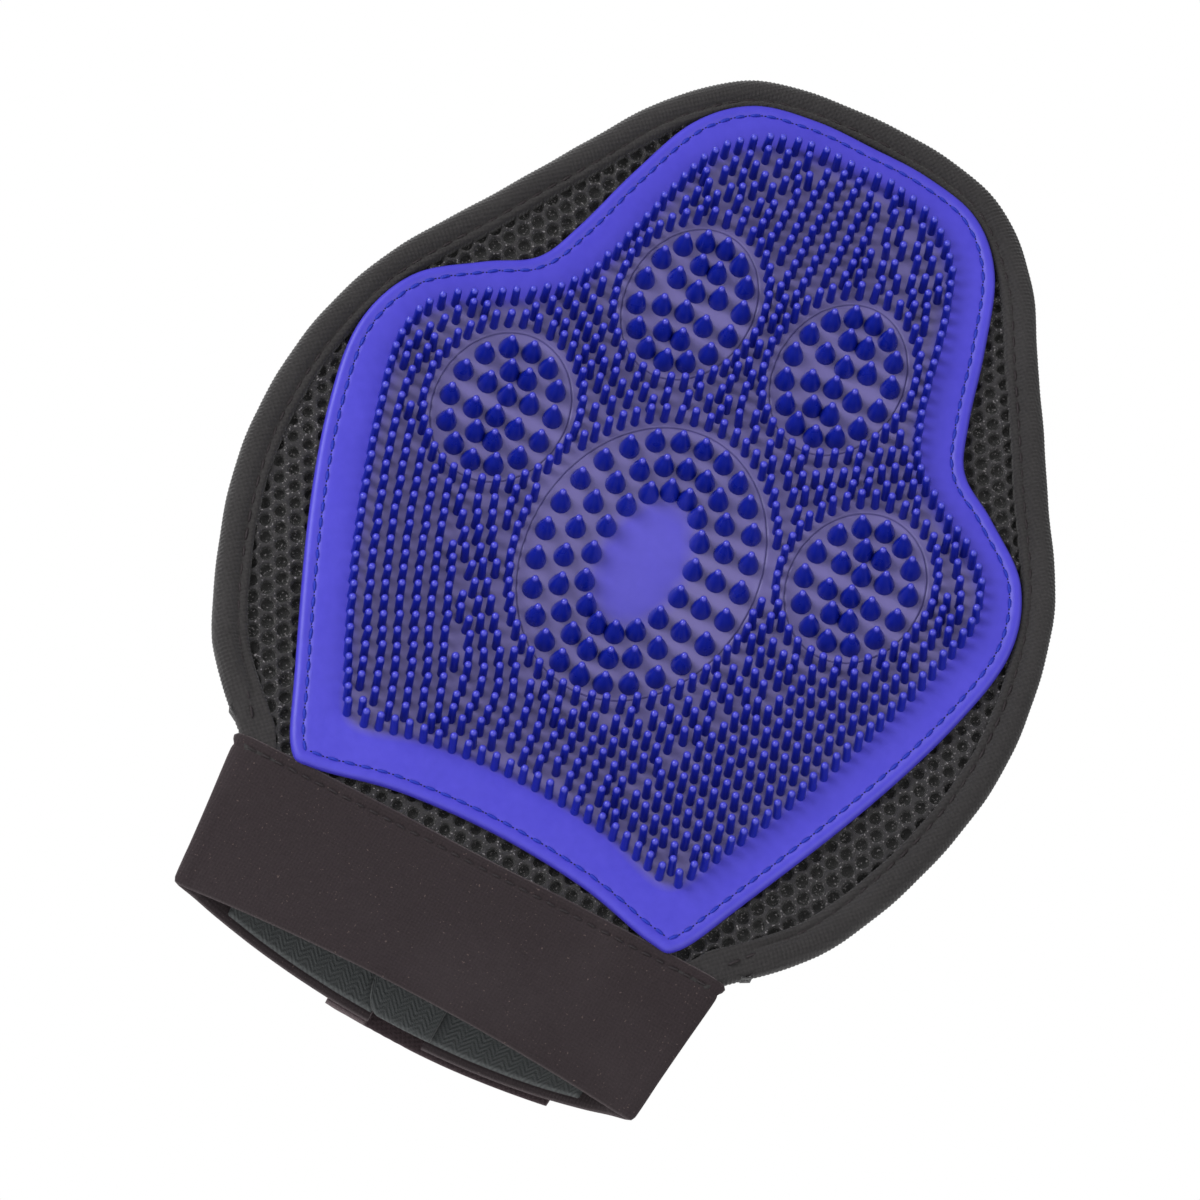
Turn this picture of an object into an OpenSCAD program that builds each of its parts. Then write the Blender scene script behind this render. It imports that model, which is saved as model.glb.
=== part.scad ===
// Two-sided pet grooming mitt: a rubber pin pad on the palm, a velour patch on the back
// and a wrist cuff that closes with a hook-and-loop tab.
// Frame: X across the hand, Z from the wrist to the fingertips, -Y out of the rubber face.
// Origin: middle of the wrist opening, in the plane of the cuff's lower edge.

/* [Mitt] */
// Distance of the seam plane, where palm and back meet, from the middle of the opening
seam_drop = 12; // [8:0.5:16]
// Height of the hand space at its deepest point
cavity_h = 24; // [18:0.5:28]
// Thickness of the spacer mesh of both panels
mesh_t = 2; // [1.5:0.1:3]
// Width of the rolled edge binding
binding_w = 7; // [6:0.5:7]
// Thickness of the edge binding on each side of the panels
binding_t = 1.4; // [1:0.1:2]

/* [Rubber pad] */
// Thickness of the pad under its pins
pad_t = 2.2; // [1.5:0.1:3]
// Height of the fine pins
pin_h = 4.5; // [3:0.1:6]
// Radius of a fine pin at its root
pin_r = 0.95; // [0.7:0.05:1.1]
// Height of the large studs
stud_h = 6; // [4:0.1:7]
// Radius of a stud at its root
stud_r = 2.1; // [1.6:0.05:2.3]
// Distance between neighbouring columns of fine pins
pin_pitch_x = 3.7; // [3.5:0.05:4.2]
// Distance between neighbouring pins of one column
pin_pitch_z = 3.2; // [3.1:0.05:4.5]

/* [Velour patch] */
// Thickness of the velour pile and its backing
velour_t = 1.6; // [1:0.1:2.5]
// Width of the satin stitched edge of the patch
edging_w = 3; // [2:0.25:4]

/* [Cuff] */
// Half of the flat width of the cuff
cuff_hw = 60; // [58:0.5:61]
// Height of the cuff
cuff_h = 36; // [32:1:40]
// Thickness of the cuff fabric
cuff_t = 2.4; // [2:0.1:3]
// Thickness of the woven lining inside the cuff
lining_t = 0.8; // [0.6:0.1:1]
// Half of the width of the gap between the two wings
wing_gap = 7; // [5:0.5:9]

/* [Closure] */
// Length of the closure tab, from its fold to its free end
tab_l = 47; // [40:1:50]
// Thickness of the tab fabric
tab_t = 2; // [1.6:0.1:2.4]
// Thickness of the hook patch under the tab
hook_t = 1.2; // [1:0.1:1.5]
// Thickness of the loop patch on the cuff
loop_t = 1.5; // [1:0.1:2]

/* [Hidden] */
seam_y = -seam_drop;
gap = 0.3;
// Clearance between layers that are sewn together
sewn_gap = 0.2;

// Right halves of the outlines, [x, z] from the wrist upwards
body_half = [[61, 36], [76, 57], [87, 87], [89.5, 115], [84, 144], [70, 171], [57, 195], [45, 216],
    [28, 231], [0, 235.5]];
pad_half = [[0, 41.5], [22, 40], [40, 36], [46.5, 37.5], [54, 53], [68, 85], [76.5, 110], [79.8, 130],
    [75, 146], [63, 157], [53, 164.5], [48.5, 176], [44, 194], [38, 212], [28, 223], [14, 227], [0, 227.5]];
field_half = [[39, 48.5], [46, 62], [55, 82], [63, 104], [69, 125], [69.5, 135], [65, 143.5], [53, 151.5],
    [44, 159], [39.5, 168], [36, 182], [33, 196], [28.5, 207.5], [20, 215], [9, 218], [0, 218]];
velour_half = [[12, 56], [30, 52.5], [43, 49.5], [50, 52], [55, 61], [66, 85], [74.5, 110], [77.5, 130],
    [73, 145], [61, 155.5], [51, 163.5], [46.5, 174], [42, 190], [36, 205], [27, 214.5], [13, 218.5],
    [0, 219]];

// Ovals of the pad: [centre x, centre z, half width, half height]
palm_oval = [0, 111.5, 25.5, 33.5];
toe_ovals = [for (s = [-1, 1]) each [[s * 18.5, 171.5, 14.3, 19.3], [s * 43.5, 128.5, 14.8, 18.3]]];
ovals = concat([palm_oval], toe_ovals);

// Point of a Catmull-Rom curve between b and c, at t from 0 to 1
function spline_point(a, b, c, d, t) =
    b + (c - a) * t / 2 + (2 * a - 5 * b + 4 * c - d) * t * t / 2 + (3 * b - a - 3 * c + d) * t * t * t / 2;
// Open smooth curve through the points p, with n steps between neighbours
function smooth(p, n) =
    let (last = len(p) - 1)
    concat(
        [for (i = [0:last - 1], k = [0:n - 1])
            spline_point(p[max(i - 1, 0)], p[i], p[i + 1], p[min(i + 2, last)], k / n)],
        [p[last]]
    );
// A half outline and its mirror image, as one list that runs round the whole shape
function both_halves(h) = concat(h, [for (i = [len(h) - 1:-1:0]) if (h[i][0] > 0) [-h[i][0], h[i][1]]]);
function unit(v) = v / norm(v);
// Inward normal of a curve that runs from the wrist up its right side, at point i
function inward(c, i) =
    let (d = unit(c[min(i + 1, len(c) - 1)] - c[max(i - 1, 0)])) [-d[1], d[0]];
// The curve moved inwards by w
function inset(c, w) = [for (i = [0:len(c) - 1]) let (p = c[i] + inward(c, i) * w) [max(0, p[0]), p[1]]];
// The same without the loops that a sharp corner would give
function trimmed(c, w) = [for (p = inset(c, w)) if (min([for (q = c) norm(p - q)]) > w * 0.97) p];
// Half width of a half outline at height z
function half_width(c, z) = lookup(z, [for (p = c) [p[1], p[0]]]);
// Running length of a curve up to each of its points
function lengths(c, i = 0, s = 0) =
    i == len(c) - 1 ? [s] : concat([s], lengths(c, i + 1, s + norm(c[i + 1] - c[i])));
// Points on a curve, evenly spaced by about step, with the direction of the curve there in degrees
function evenly(c, step) =
    let (
        s = lengths(c),
        total = s[len(s) - 1],
        n = round(total / step),
        xs = [for (i = [0:len(c) - 1]) [s[i], c[i][0]]],
        zs = [for (i = [0:len(c) - 1]) [s[i], c[i][1]]]
    )
    [for (i = [0:n - 1])
        let (
            m = (i + 0.5) * total / n,
            a = [lookup(m - 0.5, xs), lookup(m - 0.5, zs)],
            b = [lookup(m + 0.5, xs), lookup(m + 0.5, zs)]
        )
        [(a[0] + b[0]) / 2, (a[1] + b[1]) / 2, atan2(b[1] - a[1], b[0] - a[0])]];

steps = 5;
body_curve = smooth(body_half, steps);
body_inner = inset(body_curve, binding_w);
panel_curve = inset(body_curve, 3);
pad_curve = smooth(pad_half, steps);
field_curve = smooth(field_half, steps);
velour_curve = smooth(velour_half, steps);
velour_inner = inset(velour_curve, edging_w);

// Height of the hand space over the seam plane along the middle line
dome_z = 90;
dome_top = body_inner[len(body_inner) - 1][1];
wrist_dip = 3;
function ridge(z) =
    z > dome_z
        ? cavity_h * max(0, 1 - pow((z - dome_z) / (dome_top - dome_z), 3))
        : cavity_h - wrist_dip * pow((dome_z - z) / (dome_z - cuff_h), 2);
// Height of the inner face of the back panel over the seam plane
function dome(x, z) = ridge(z) * max(0, 1 - pow(x / max(1, half_width(body_inner, z)), 2));

module flat(outline, y0, y1) {
    translate([0, seam_y + y1, 0]) rotate([90, 0, 0]) linear_extrude(y1 - y0) polygon(outline);
}

// Closed solid over a grid of [x, z] points, between two levels over the inner face of the back.
// Rows run from the wrist to the fingertips and each row runs from left to right.
module back_sheet(grid, lo, hi) {
    rows = len(grid);
    cols = len(grid[0]);
    pts = [for (lift = [lo, hi], row = grid, p = row) [p[0], seam_y + lift + dome(p[0], p[1]), p[1]]];
    function id(s, i, j) = (s * rows + i) * cols + j;
    // Two triangles of a four-sided face
    function quad(a, b, c, d) = [[a, b, c], [a, c, d]];
    faces = concat(
        [for (i = [0:rows - 2], j = [0:cols - 2]) each concat(
            quad(id(0, i, j), id(0, i + 1, j), id(0, i + 1, j + 1), id(0, i, j + 1)),
            quad(id(1, i, j), id(1, i, j + 1), id(1, i + 1, j + 1), id(1, i + 1, j)))],
        [for (i = [0:rows - 2]) each concat(
            quad(id(0, i, 0), id(1, i, 0), id(1, i + 1, 0), id(0, i + 1, 0)),
            quad(id(0, i, cols - 1), id(0, i + 1, cols - 1), id(1, i + 1, cols - 1), id(1, i, cols - 1)))],
        [for (j = [0:cols - 2]) each concat(
            quad(id(0, 0, j), id(0, 0, j + 1), id(1, 0, j + 1), id(1, 0, j)),
            quad(id(0, rows - 1, j), id(1, rows - 1, j), id(1, rows - 1, j + 1), id(0, rows - 1, j + 1)))]
    );
    polyhedron(pts, faces, convexity = 6);
}
// Grid of a strip between two half outlines that are run up the right side and down the left
function strip_grid(inner, outer) =
    let (a = both_halves(inner), b = both_halves(outer)) [for (i = [0:len(a) - 1]) [a[i], b[i]]];
across = 16;
// Half outlines closed at the cuff
panel_half = concat([[57, cuff_h]], panel_curve);
inner_half = concat([[52, cuff_h]], body_inner);
lining_half = concat([[46, cuff_h]], trimmed(body_curve, 14));
palm_outline = both_halves(panel_half);
back_grid = [for (i = [0:len(inner_half) - 2])
    let (p = inner_half[i], e = panel_half[i])
    concat([[-e[0], e[1]]], [for (j = [0:across]) [p[0] * (2 * j / across - 1), p[1]]], [e])];
// The foot of the velour runs down from the slit to its corners, its rows straighten out above it
velour_corner = 48;
velour_foot = [for (p = velour_inner) if (p[0] < velour_corner && p[1] < 70) p];
velour_side = [for (p = velour_inner) if (p[0] >= velour_corner || p[1] >= 70) p];
foot_z = velour_side[0][1];
velour_top = velour_side[len(velour_side) - 1][1];
velour_grid = [for (i = [0:len(velour_side) - 2]) [for (j = [0:across])
    let (
        p = velour_side[i],
        u = 2 * j / across - 1,
        sag = lookup(abs(u) * velour_corner, velour_foot) - foot_z
    )
    [u * p[0], p[1] + sag * (velour_top - p[1]) / (velour_top - foot_z)]]];
binding_outline = concat(
    both_halves(body_curve),
    [for (p = inner_half) if (p[0] > 0) [-p[0], p[1]]],
    [for (i = [len(inner_half) - 1:-1:0]) inner_half[i]]
);
pad_outline = both_halves(pad_curve);

// Slit over the wrist: half widths of its binding and the middle of its round top
slit_out = 12;
slit_in = 4.5;
slit_top = 72;
// Right half of an arch of half width r, from the cuff up to its top
function arch(r) = concat(
    [for (z = [cuff_h:6:slit_top - 1]) [r, z]],
    [for (a = [0:9:90]) [a < 90 ? r * cos(a) : 0, slit_top + r * sin(a)]]
);
module slit_hole(r) {
    translate([0, seam_y + 60, 0]) rotate([90, 0, 0]) linear_extrude(60) union() {
        translate([-r, cuff_h - 3]) square([2 * r, slit_top - cuff_h + 3]);
        translate([0, slit_top]) circle(r, $fn = 48);
    }
}

// Straight piece of thread between two points
thread_r = 0.35;
module thread(a, b) {
    d = b - a;
    translate(a) rotate([0, acos(d[2] / norm(d)), atan2(d[1], d[0])])
        cylinder(h = norm(d), r = thread_r, $fn = 16);
}
// A row of stitches along a curve, where level(x, z) is the height of the surface over the seam
module stitches(curve, step, length, level) {
    for (e = evenly(curve, step)) {
        dx = cos(e[2]) * length / 2;
        dz = sin(e[2]) * length / 2;
        thread(
            [e[0] - dx, seam_y + level(e[0] - dx, e[1] - dz), e[1] - dz],
            [e[0] + dx, seam_y + level(e[0] + dx, e[1] + dz), e[1] + dz]
        );
    }
}

pad_face = -(mesh_t + pad_t);
module pin_at(x, z, r, tip_r, h) {
    translate([x, seam_y + pad_face, z]) rotate([90, 0, 0]) cylinder(h = h, r1 = r, r2 = tip_r, $fn = 18);
}

// Distance of a point from the outside of an oval, negative inside it
function oval_gap(o, x, z) =
    let (v = [x - o[0], z - o[1]], q = norm([v[0] / o[2], v[1] / o[3]]))
    q < 0.2 ? -min(o[2], o[3]) : norm(v) * (1 - 1 / q);
function ovals_gap(x, z) = min([for (o = ovals) oval_gap(o, x, z)]);
// Distance of a point from the sides of the pin field
function side_gap(x, z) =
    let (slope = (half_width(field_curve, z + 1) - half_width(field_curve, z - 1)) / 2)
    (half_width(field_curve, z) - abs(x)) / norm([1, slope]);
field_foot = 48.5;
field_foot_rise = 6;
field_hw = 39;
field_top = 218;
function foot_line(x) = field_foot + field_foot_rise * (1 - pow(x / field_hw, 2));
function foot_gap(x, z) = z - foot_line(x);
function head_gap(x, z) = field_top - 14 * pow(max(0, abs(x) - 8) / 24, 2) - z;
function field_gap(x, z) = min(side_gap(x, z), foot_gap(x, z), head_gap(x, z));
// Closed curve round an oval at a distance
function oval_ring(o, d) = [for (a = [0:5:360]) [o[0] + (o[2] + d) * cos(a), o[1] + (o[3] + d) * sin(a)]];

// Pins stand closer along the edge of the field and round the ovals
edge_step = 3.3;
ring_gap = 2.1;
foot_curve = [for (x = [2 - field_hw:field_hw - 2]) [x, foot_line(x)]];
toe_pins = [for (o = toe_ovals, e = evenly(oval_ring(o, ring_gap), edge_step))
    if (oval_gap(palm_oval, e[0], e[1]) > 1.6 && field_gap(e[0], e[1]) > 2.4) e];
palm_pins = [for (e = evenly(oval_ring(palm_oval, ring_gap), edge_step))
    if (min([for (o = toe_ovals) oval_gap(o, e[0], e[1])]) > 4.4) e];
// Pins of neighbouring columns are set off by half a step
function row_z(k, i) = field_foot + pin_pitch_z * (i + (k % 2 == 0 ? 0 : 0.5));
// Columns follow the sides of the field on the outside and the palm oval on the inside
function guide(z) =
    let (lean = [for (d = [-16, -8, 0, 8, 16]) half_width(field_curve, z + d)])
    (lean * [1, 1, 1, 1, 1]) / 5;
function swell(z) =
    abs(z - palm_oval[1]) < 48 ? palm_oval[2] * pow(cos(90 * (z - palm_oval[1]) / 48), 2) : 0;
function column_middle(z) = (guide(z) + swell(z)) / 2;
clear = 2.4;
function free(x, z) = field_gap(x, z) > clear && ovals_gap(x, z) > ring_gap + clear;
column_pins = [
    for (k = [-6:24], i = [0:54])
        let (z = row_z(k, i), x = guide(z) - pin_pitch_x * k)
        if (x > column_middle(z) && free(x, z)) [x, z],
    for (k = [0:20], i = [0:54])
        let (z = row_z(k, i), x = swell(z) + pin_pitch_x * (k + 0.5))
        if (x < column_middle(z) - pin_pitch_x * 0.8 && free(x, z)) [x, z]
];

module brush_pad() {
    bead_r = 0.3;
    color([0.33, 0.31, 0.78]) union() {
        flat(pad_outline, pad_face, -mesh_t);
        // Thin bead round each oval
        for (o = ovals) {
            difference() {
                flat(oval_ring(o, bead_r), pad_face - bead_r, pad_face + bead_r);
                flat(oval_ring(o, -bead_r), pad_face - 1, pad_face + 1);
            }
        }
    }
}
module fine_pin(x, z) {
    pin_at(x, z, pin_r, pin_r * 0.6, pin_h);
}
module fine_pins() {
    color([0.05, 0.08, 0.62]) {
        for (s = [-1, 1], e = column_pins) fine_pin(s * e[0], e[1]);
        for (s = [-1, 1], e = evenly(field_curve, edge_step)) fine_pin(s * e[0], e[1]);
        for (e = concat(evenly(foot_curve, edge_step), toe_pins, palm_pins)) fine_pin(e[0], e[1]);
    }
}
// Rings of studs inside an oval: [half width, half height, number] each
module stud_rings(o, rings) {
    for (r = rings, i = [0:r[2] - 1]) {
        a = 360 * (i + 0.5) / r[2];
        pin_at(o[0] + r[0] * cos(a), o[1] + r[1] * sin(a), stud_r, stud_r * 0.35, stud_h);
    }
}
module toe_studs() {
    color([0.04, 0.07, 0.55]) for (o = toe_ovals) {
        stud_rings(o, [[11.3, o[3] - 3.8, o[3] > 19 ? 15 : 14], [5.6, o[3] - 9.4, 8], [0.01, 2.8, 2]]);
    }
}
module palm_studs() {
    color([0.04, 0.07, 0.55]) stud_rings(palm_oval, [[22, 30, 26], [16.3, 24, 21], [10.8, 18, 16]]);
}
module pad_stitching() {
    edge = trimmed(pad_curve, 2.8);
    color([0.1, 0.25, 0.8]) for (s = [0, 1]) mirror([s, 0, 0])
        stitches(edge, 3.6, 2.6, function(x, z) pad_face);
}
module palm_panel() {
    color([0.13, 0.13, 0.14]) flat(palm_outline, -mesh_t, 0);
}
module palm_lining() {
    color([0.09, 0.1, 0.16]) flat(both_halves(lining_half), 0, lining_t);
}
module back_panel() {
    color([0.13, 0.13, 0.14]) difference() {
        back_sheet(back_grid, 0, mesh_t);
        slit_hole(slit_out);
    }
}
module velour_patch() {
    color([0.03, 0.35, 0.85]) difference() {
        intersection() {
            back_sheet(velour_grid, mesh_t + sewn_gap, mesh_t + velour_t);
            flat(both_halves(inset(velour_curve, edging_w + sewn_gap)), 0, 60);
        }
        slit_hole(slit_out);
    }
}
module velour_edging() {
    edging_lift = 0.4;
    color([0.1, 0.42, 0.9])
        back_sheet(strip_grid(velour_inner, velour_curve), mesh_t + sewn_gap, mesh_t + velour_t + edging_lift);
}
module velour_stitching() {
    shown = [for (p = trimmed(velour_curve, 12)) if (p[1] > 66 || p[0] > slit_out + 2) p];
    color([0.1, 0.4, 0.9]) for (s = [0, 1]) mirror([s, 0, 0])
        stitches(shown, 3.4, 2.2, function(x, z) dome(x, z) + mesh_t + velour_t);
}
module edge_binding() {
    color([0.17, 0.17, 0.18]) difference() {
        flat(binding_outline, -mesh_t - binding_t, mesh_t + binding_t);
        flat(palm_outline, -mesh_t, mesh_t);
        back_sheet(back_grid, -sewn_gap, mesh_t + sewn_gap);
    }
}
module binding_stitching() {
    seam = inset(body_curve, binding_w - 1.5);
    color([0.1, 0.1, 0.11]) for (s = [0, 1], face = [-1, 1]) mirror([s, 0, 0])
        stitches(seam, 4.2, 3, function(x, z) face * (mesh_t + binding_t));
}
slit_lift = mesh_t + velour_t + 1;
module slit_binding() {
    color([0.14, 0.14, 0.15]) back_sheet(strip_grid(arch(slit_in), arch(slit_out)), -1, slit_lift);
}
module slit_stitching() {
    r = slit_out - 2.4;
    color([0.09, 0.09, 0.1]) for (s = [0, 1]) mirror([s, 0, 0])
        stitches(arch(r), 3.4, 2.3, function(x, z) dome(x, z) + slit_lift);
}

// Cuff: its back is an arc about an upright line behind the palm
cuff_deep = cavity_h - wrist_dip + cuff_t;
arc_r = (cuff_hw * cuff_hw + cuff_deep * cuff_deep) / (2 * cuff_deep);
arc_y = cuff_deep - arc_r;
wing_top = cuff_h - gap;
function on_arc(x, r) = arc_y + sqrt(r * r - x * x);
// Upright strip of the arc between two radii and two places across
module arc_strip(r0, r1, x0, x1, z0, z1) {
    translate([0, seam_y, z0]) linear_extrude(z1 - z0) intersection() {
        translate([0, arc_y]) difference() {
            circle(r1, $fn = 96);
            circle(r0, $fn = 96);
        }
        translate([x0, gap]) square([x1 - x0, 60]);
    }
}
// Upright or level row of stitches on the arc
module arc_stitches(r, x0, x1, z, step, length) {
    for (x = [x0:step:x1]) thread(
        [x, seam_y + on_arc(x, r), z],
        [x + length, seam_y + on_arc(x + length, r), z]
    );
}
module upright_stitches(r, x, z0, z1, step, length) {
    for (z = [z0:step:z1]) thread([x, seam_y + on_arc(x, r), z], [x, seam_y + on_arc(x, r), z + length]);
}
lining_margin = 1.5;
lining_hw = 50;
hem = 2.4;
module cuff_front() {
    end_r = cuff_t / 2;
    color([0.2, 0.17, 0.18]) translate([0, seam_y, 0]) linear_extrude(cuff_h) union() {
        translate([-cuff_hw, -cuff_t]) square([2 * cuff_hw, cuff_t]);
        for (s = [-1, 1]) translate([s * cuff_hw, -end_r]) circle(end_r, $fn = 24);
    }
}
module cuff_lining() {
    color([0.12, 0.12, 0.13]) translate([-lining_hw, seam_y, lining_margin])
        cube([2 * lining_hw, lining_t, cuff_h - 2 * lining_margin]);
}
module cuff_stitching() {
    color([0.1, 0.08, 0.09]) for (x = [2 - cuff_hw:3.6:cuff_hw - 4], z = [cuff_h - hem, hem])
        thread([x, seam_y - cuff_t, z], [x + 2.6, seam_y - cuff_t, z]);
}
module wing(side) {
    color([0.2, 0.17, 0.18]) mirror([side < 0 ? 1 : 0, 0, 0])
        arc_strip(arc_r - cuff_t, arc_r, wing_gap, cuff_hw, 0, wing_top);
}
module wing_lining(side) {
    r = arc_r - cuff_t;
    top = wing_top - lining_margin;
    color([0.12, 0.12, 0.13]) mirror([side < 0 ? 1 : 0, 0, 0])
        arc_strip(r - lining_t, r, wing_gap + 1, lining_hw, lining_margin, top);
}
module loop_wing() {
    wing(1);
}
module loop_wing_lining() {
    wing_lining(1);
}
module loop_wing_stitching() {
    color([0.1, 0.08, 0.09]) arc_stitches(arc_r, loop_to + 1.5, cuff_hw - 4, wing_top - hem, 3.6, 2.6);
}
loop_from = 9;
loop_to = 51;
loop_edge = 2;
loop_r = arc_r + loop_t;
module loop_patch() {
    color([0.16, 0.16, 0.17]) arc_strip(arc_r, loop_r, loop_from, loop_to, loop_edge, wing_top - loop_edge);
}
module loop_patch_stitching() {
    color([0.1, 0.1, 0.11])
        upright_stitches(loop_r, loop_to - 1.4, loop_edge + 2, wing_top - loop_edge - 4, 3.2, 2.2);
}
module tab_wing() {
    wing(-1);
}
module tab_wing_lining() {
    wing_lining(-1);
}
module tab_wing_stitching() {
    color([0.1, 0.08, 0.09]) for (z = [wing_top - hem, hem]) arc_stitches(arc_r, -56, -22, z, 3.6, 2.6);
}

// Tab: it folds on an upright line over the free end of its wing
fold_x = -wing_gap;
hook_r = loop_r + gap;
tab_r = hook_r + hook_t;
tab_out = tab_r + tab_t;
root_l = 11;
module tab_root() {
    color([0.18, 0.15, 0.16]) arc_strip(arc_r, tab_out, fold_x - root_l, fold_x - gap, 0, wing_top);
}
module closure_tab() {
    color([0.2, 0.16, 0.17]) arc_strip(tab_r, tab_out, fold_x + gap, fold_x + tab_l, 0, wing_top);
}
hook_margin = 1;
module hook_patch() {
    color([0.1, 0.1, 0.11]) arc_strip(hook_r, tab_r, loop_from + hook_margin, fold_x + tab_l - hook_margin,
        2 * hook_margin, wing_top - 2 * hook_margin);
}
module tab_stitching() {
    box_in = 4;
    z_low = box_in;
    z_high = wing_top - box_in;
    x_near = loop_from;
    x_far = fold_x + tab_l - box_in;
    color([0.12, 0.09, 0.1]) {
        for (z = [z_low, z_high]) arc_stitches(tab_out, x_near, x_far - 2.6, z, 3.4, 2.4);
        for (x = [x_near, x_far]) upright_stitches(tab_out, x, z_low, z_high - 2.4, 3.4, 2.4);
    }
}

brush_pad();
fine_pins();
toe_studs();
palm_studs();
pad_stitching();
palm_panel();
palm_lining();
back_panel();
velour_patch();
velour_edging();
velour_stitching();
edge_binding();
binding_stitching();
slit_binding();
slit_stitching();
cuff_front();
cuff_lining();
cuff_stitching();
loop_wing();
loop_wing_lining();
loop_wing_stitching();
loop_patch();
loop_patch_stitching();
tab_wing();
tab_wing_lining();
tab_wing_stitching();
tab_root();
closure_tab();
hook_patch();
tab_stitching();
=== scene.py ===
import math
import bmesh
import bpy
import numpy as np
from mathutils import Matrix, Vector
from mathutils.geometry import delaunay_2d_cdt


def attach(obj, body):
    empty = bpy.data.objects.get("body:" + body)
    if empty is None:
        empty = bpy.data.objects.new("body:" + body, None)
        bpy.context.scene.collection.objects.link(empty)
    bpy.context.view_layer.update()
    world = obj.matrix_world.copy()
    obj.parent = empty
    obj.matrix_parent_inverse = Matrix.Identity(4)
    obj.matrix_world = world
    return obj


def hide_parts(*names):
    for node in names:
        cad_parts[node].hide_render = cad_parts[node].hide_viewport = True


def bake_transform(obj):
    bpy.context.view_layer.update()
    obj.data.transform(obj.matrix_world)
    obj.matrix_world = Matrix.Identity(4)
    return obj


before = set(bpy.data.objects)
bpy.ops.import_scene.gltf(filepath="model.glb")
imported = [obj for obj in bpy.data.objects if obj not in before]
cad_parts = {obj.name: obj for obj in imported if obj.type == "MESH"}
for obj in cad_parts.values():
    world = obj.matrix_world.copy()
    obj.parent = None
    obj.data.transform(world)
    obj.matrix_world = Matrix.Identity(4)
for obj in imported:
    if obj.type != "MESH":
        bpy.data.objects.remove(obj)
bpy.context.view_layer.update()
rng = np.random.default_rng(7)
MM = 0.001

# ---------------------------------------------------------------- sizes, in millimetres
SEAM = -12.0  # plane where palm and back meet
MESH_T, PAD_T, BIND_W = 2.0, 2.2, 7.0  # thickness of the mesh and the pad, width of the edge binding
CUFF_H, WING_TOP = 36.0, 35.7  # height of the cuff's front and of its wings
LINING_LOW, LINING_TOP = 1.6, 34.4  # lower and upper edge of the cuff's lining
DOME_H, DOME_Z, WRIST_DIP = 24.0, 90.0, 3.0  # hand space: height, where it is highest, drop at the wrist
ARC_R, ARC_Y = 88.62, -77.22  # arc of the cuff's back
SLIT_OUT, SLIT_TOP = 12.0, 72.0  # half width of the slit's binding, and where its arch starts
MESH_LOW = 34.4  # first row of mesh cells
TEETH = 12  # points of a mesh cell's rim
# pieces of the cuff, which worn() shapes: those on these bodies, and those with these names
CUFF_BODIES = ("loop_wing", "tab_wing", "closure_tab")
CUFF_PIECES = ("cuff_band_right", "cuff_band_left", "cuff_hem_stitches", "cuff_lining_front", "closure_strap")
CUFF_HALF, FRONT_Y, PALM_GAPE, BACK_GAPE = 57, -10.5, -8.5, 3.0  # how the cuff gapes at its mouth
TAB_R, TAB_OUT = 91.62, 93.62  # inner and outer face of the closed tab

# right halves of the outlines, from the wrist to the middle of the top
BODY = [(61, 36), (76, 57), (87, 87), (89.5, 115), (84, 144), (70, 171), (57, 195), (45, 216), (28, 231), (0, 235.5)]
PAD = [(0, 41.5), (22, 40), (40, 36), (46.5, 37.5), (54, 53), (68, 85), (76.5, 110), (79.8, 130),
       (75, 146), (63, 157), (53, 164.5), (48.5, 176), (44, 194), (38, 212), (28, 223), (14, 227), (0, 227.5)]
FIELD = [(0, 54), (20, 52.5), (38, 48), (46, 62), (55, 82), (63, 104), (69, 125), (69.5, 135), (65, 143.5),
         (53, 151.5), (44, 159), (39.5, 168), (36, 182), (33, 196), (28.5, 207.5), (20, 215), (9, 218), (0, 218)]
VELOUR = [(12, 56), (30, 52.5), (43, 49.5), (50, 52), (55, 61), (66, 85), (74.5, 110), (77.5, 130), (73, 145),
          (61, 155.5), (51, 163.5), (46.5, 174), (42, 190), (36, 205), (27, 214.5), (13, 218.5), (0, 219)]
# the ovals of the paw: centre x, z and half width, half height
OVALS = [(0, 111.5, 25.5, 33.5), (18.5, 171.5, 14.3, 19.3), (-18.5, 171.5, 14.3, 19.3),
         (43.5, 128.5, 14.8, 18.3), (-43.5, 128.5, 14.8, 18.3)]


# ---------------------------------------------------------------- curves
def step(t):
    """0 below 0, 1 above 1, and an even rise between."""
    t = np.clip(t, 0, 1)
    return t * t * (3 - 2 * t)


def smooth(points, n=10):
    """Open Catmull-Rom curve through points, n steps between neighbours, level where it ends at x = 0."""
    p = np.array(points, float)
    first = p[1] * [-1, 1] if p[0, 0] == 0 else p[0]
    last = p[-2] * [-1, 1] if p[-1, 0] == 0 else p[-1]
    q = np.vstack([first, p, last])
    t = (np.arange(n) / n)[:, None]
    out = []
    for i in range(len(p) - 1):
        a, b, c, d = q[i], q[i + 1], q[i + 2], q[i + 3]
        out.append(b + (c - a) * t / 2 + (2 * a - 5 * b + 4 * c - d) * t**2 / 2 + (3 * b - a - 3 * c + d) * t**3 / 2)
    return np.vstack(out + [p[-1:]])


def resample(c, count):
    s = np.concatenate([[0], np.cumsum(np.linalg.norm(np.diff(c, axis=0), axis=1))])
    w = np.linspace(0, s[-1], count)
    return np.stack([np.interp(w, s, c[:, k]) for k in range(c.shape[1])], 1)


def length(c):
    return float(np.linalg.norm(np.diff(c, axis=0), axis=1).sum())


def tangents(c):
    d = np.gradient(c, axis=0)
    return d / np.linalg.norm(d, axis=1)[:, None]


def inward(c):
    """Unit normals to the left of a curve that runs up the right side."""
    d = tangents(c)
    return np.stack([-d[:, 1], d[:, 0]], 1)


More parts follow.
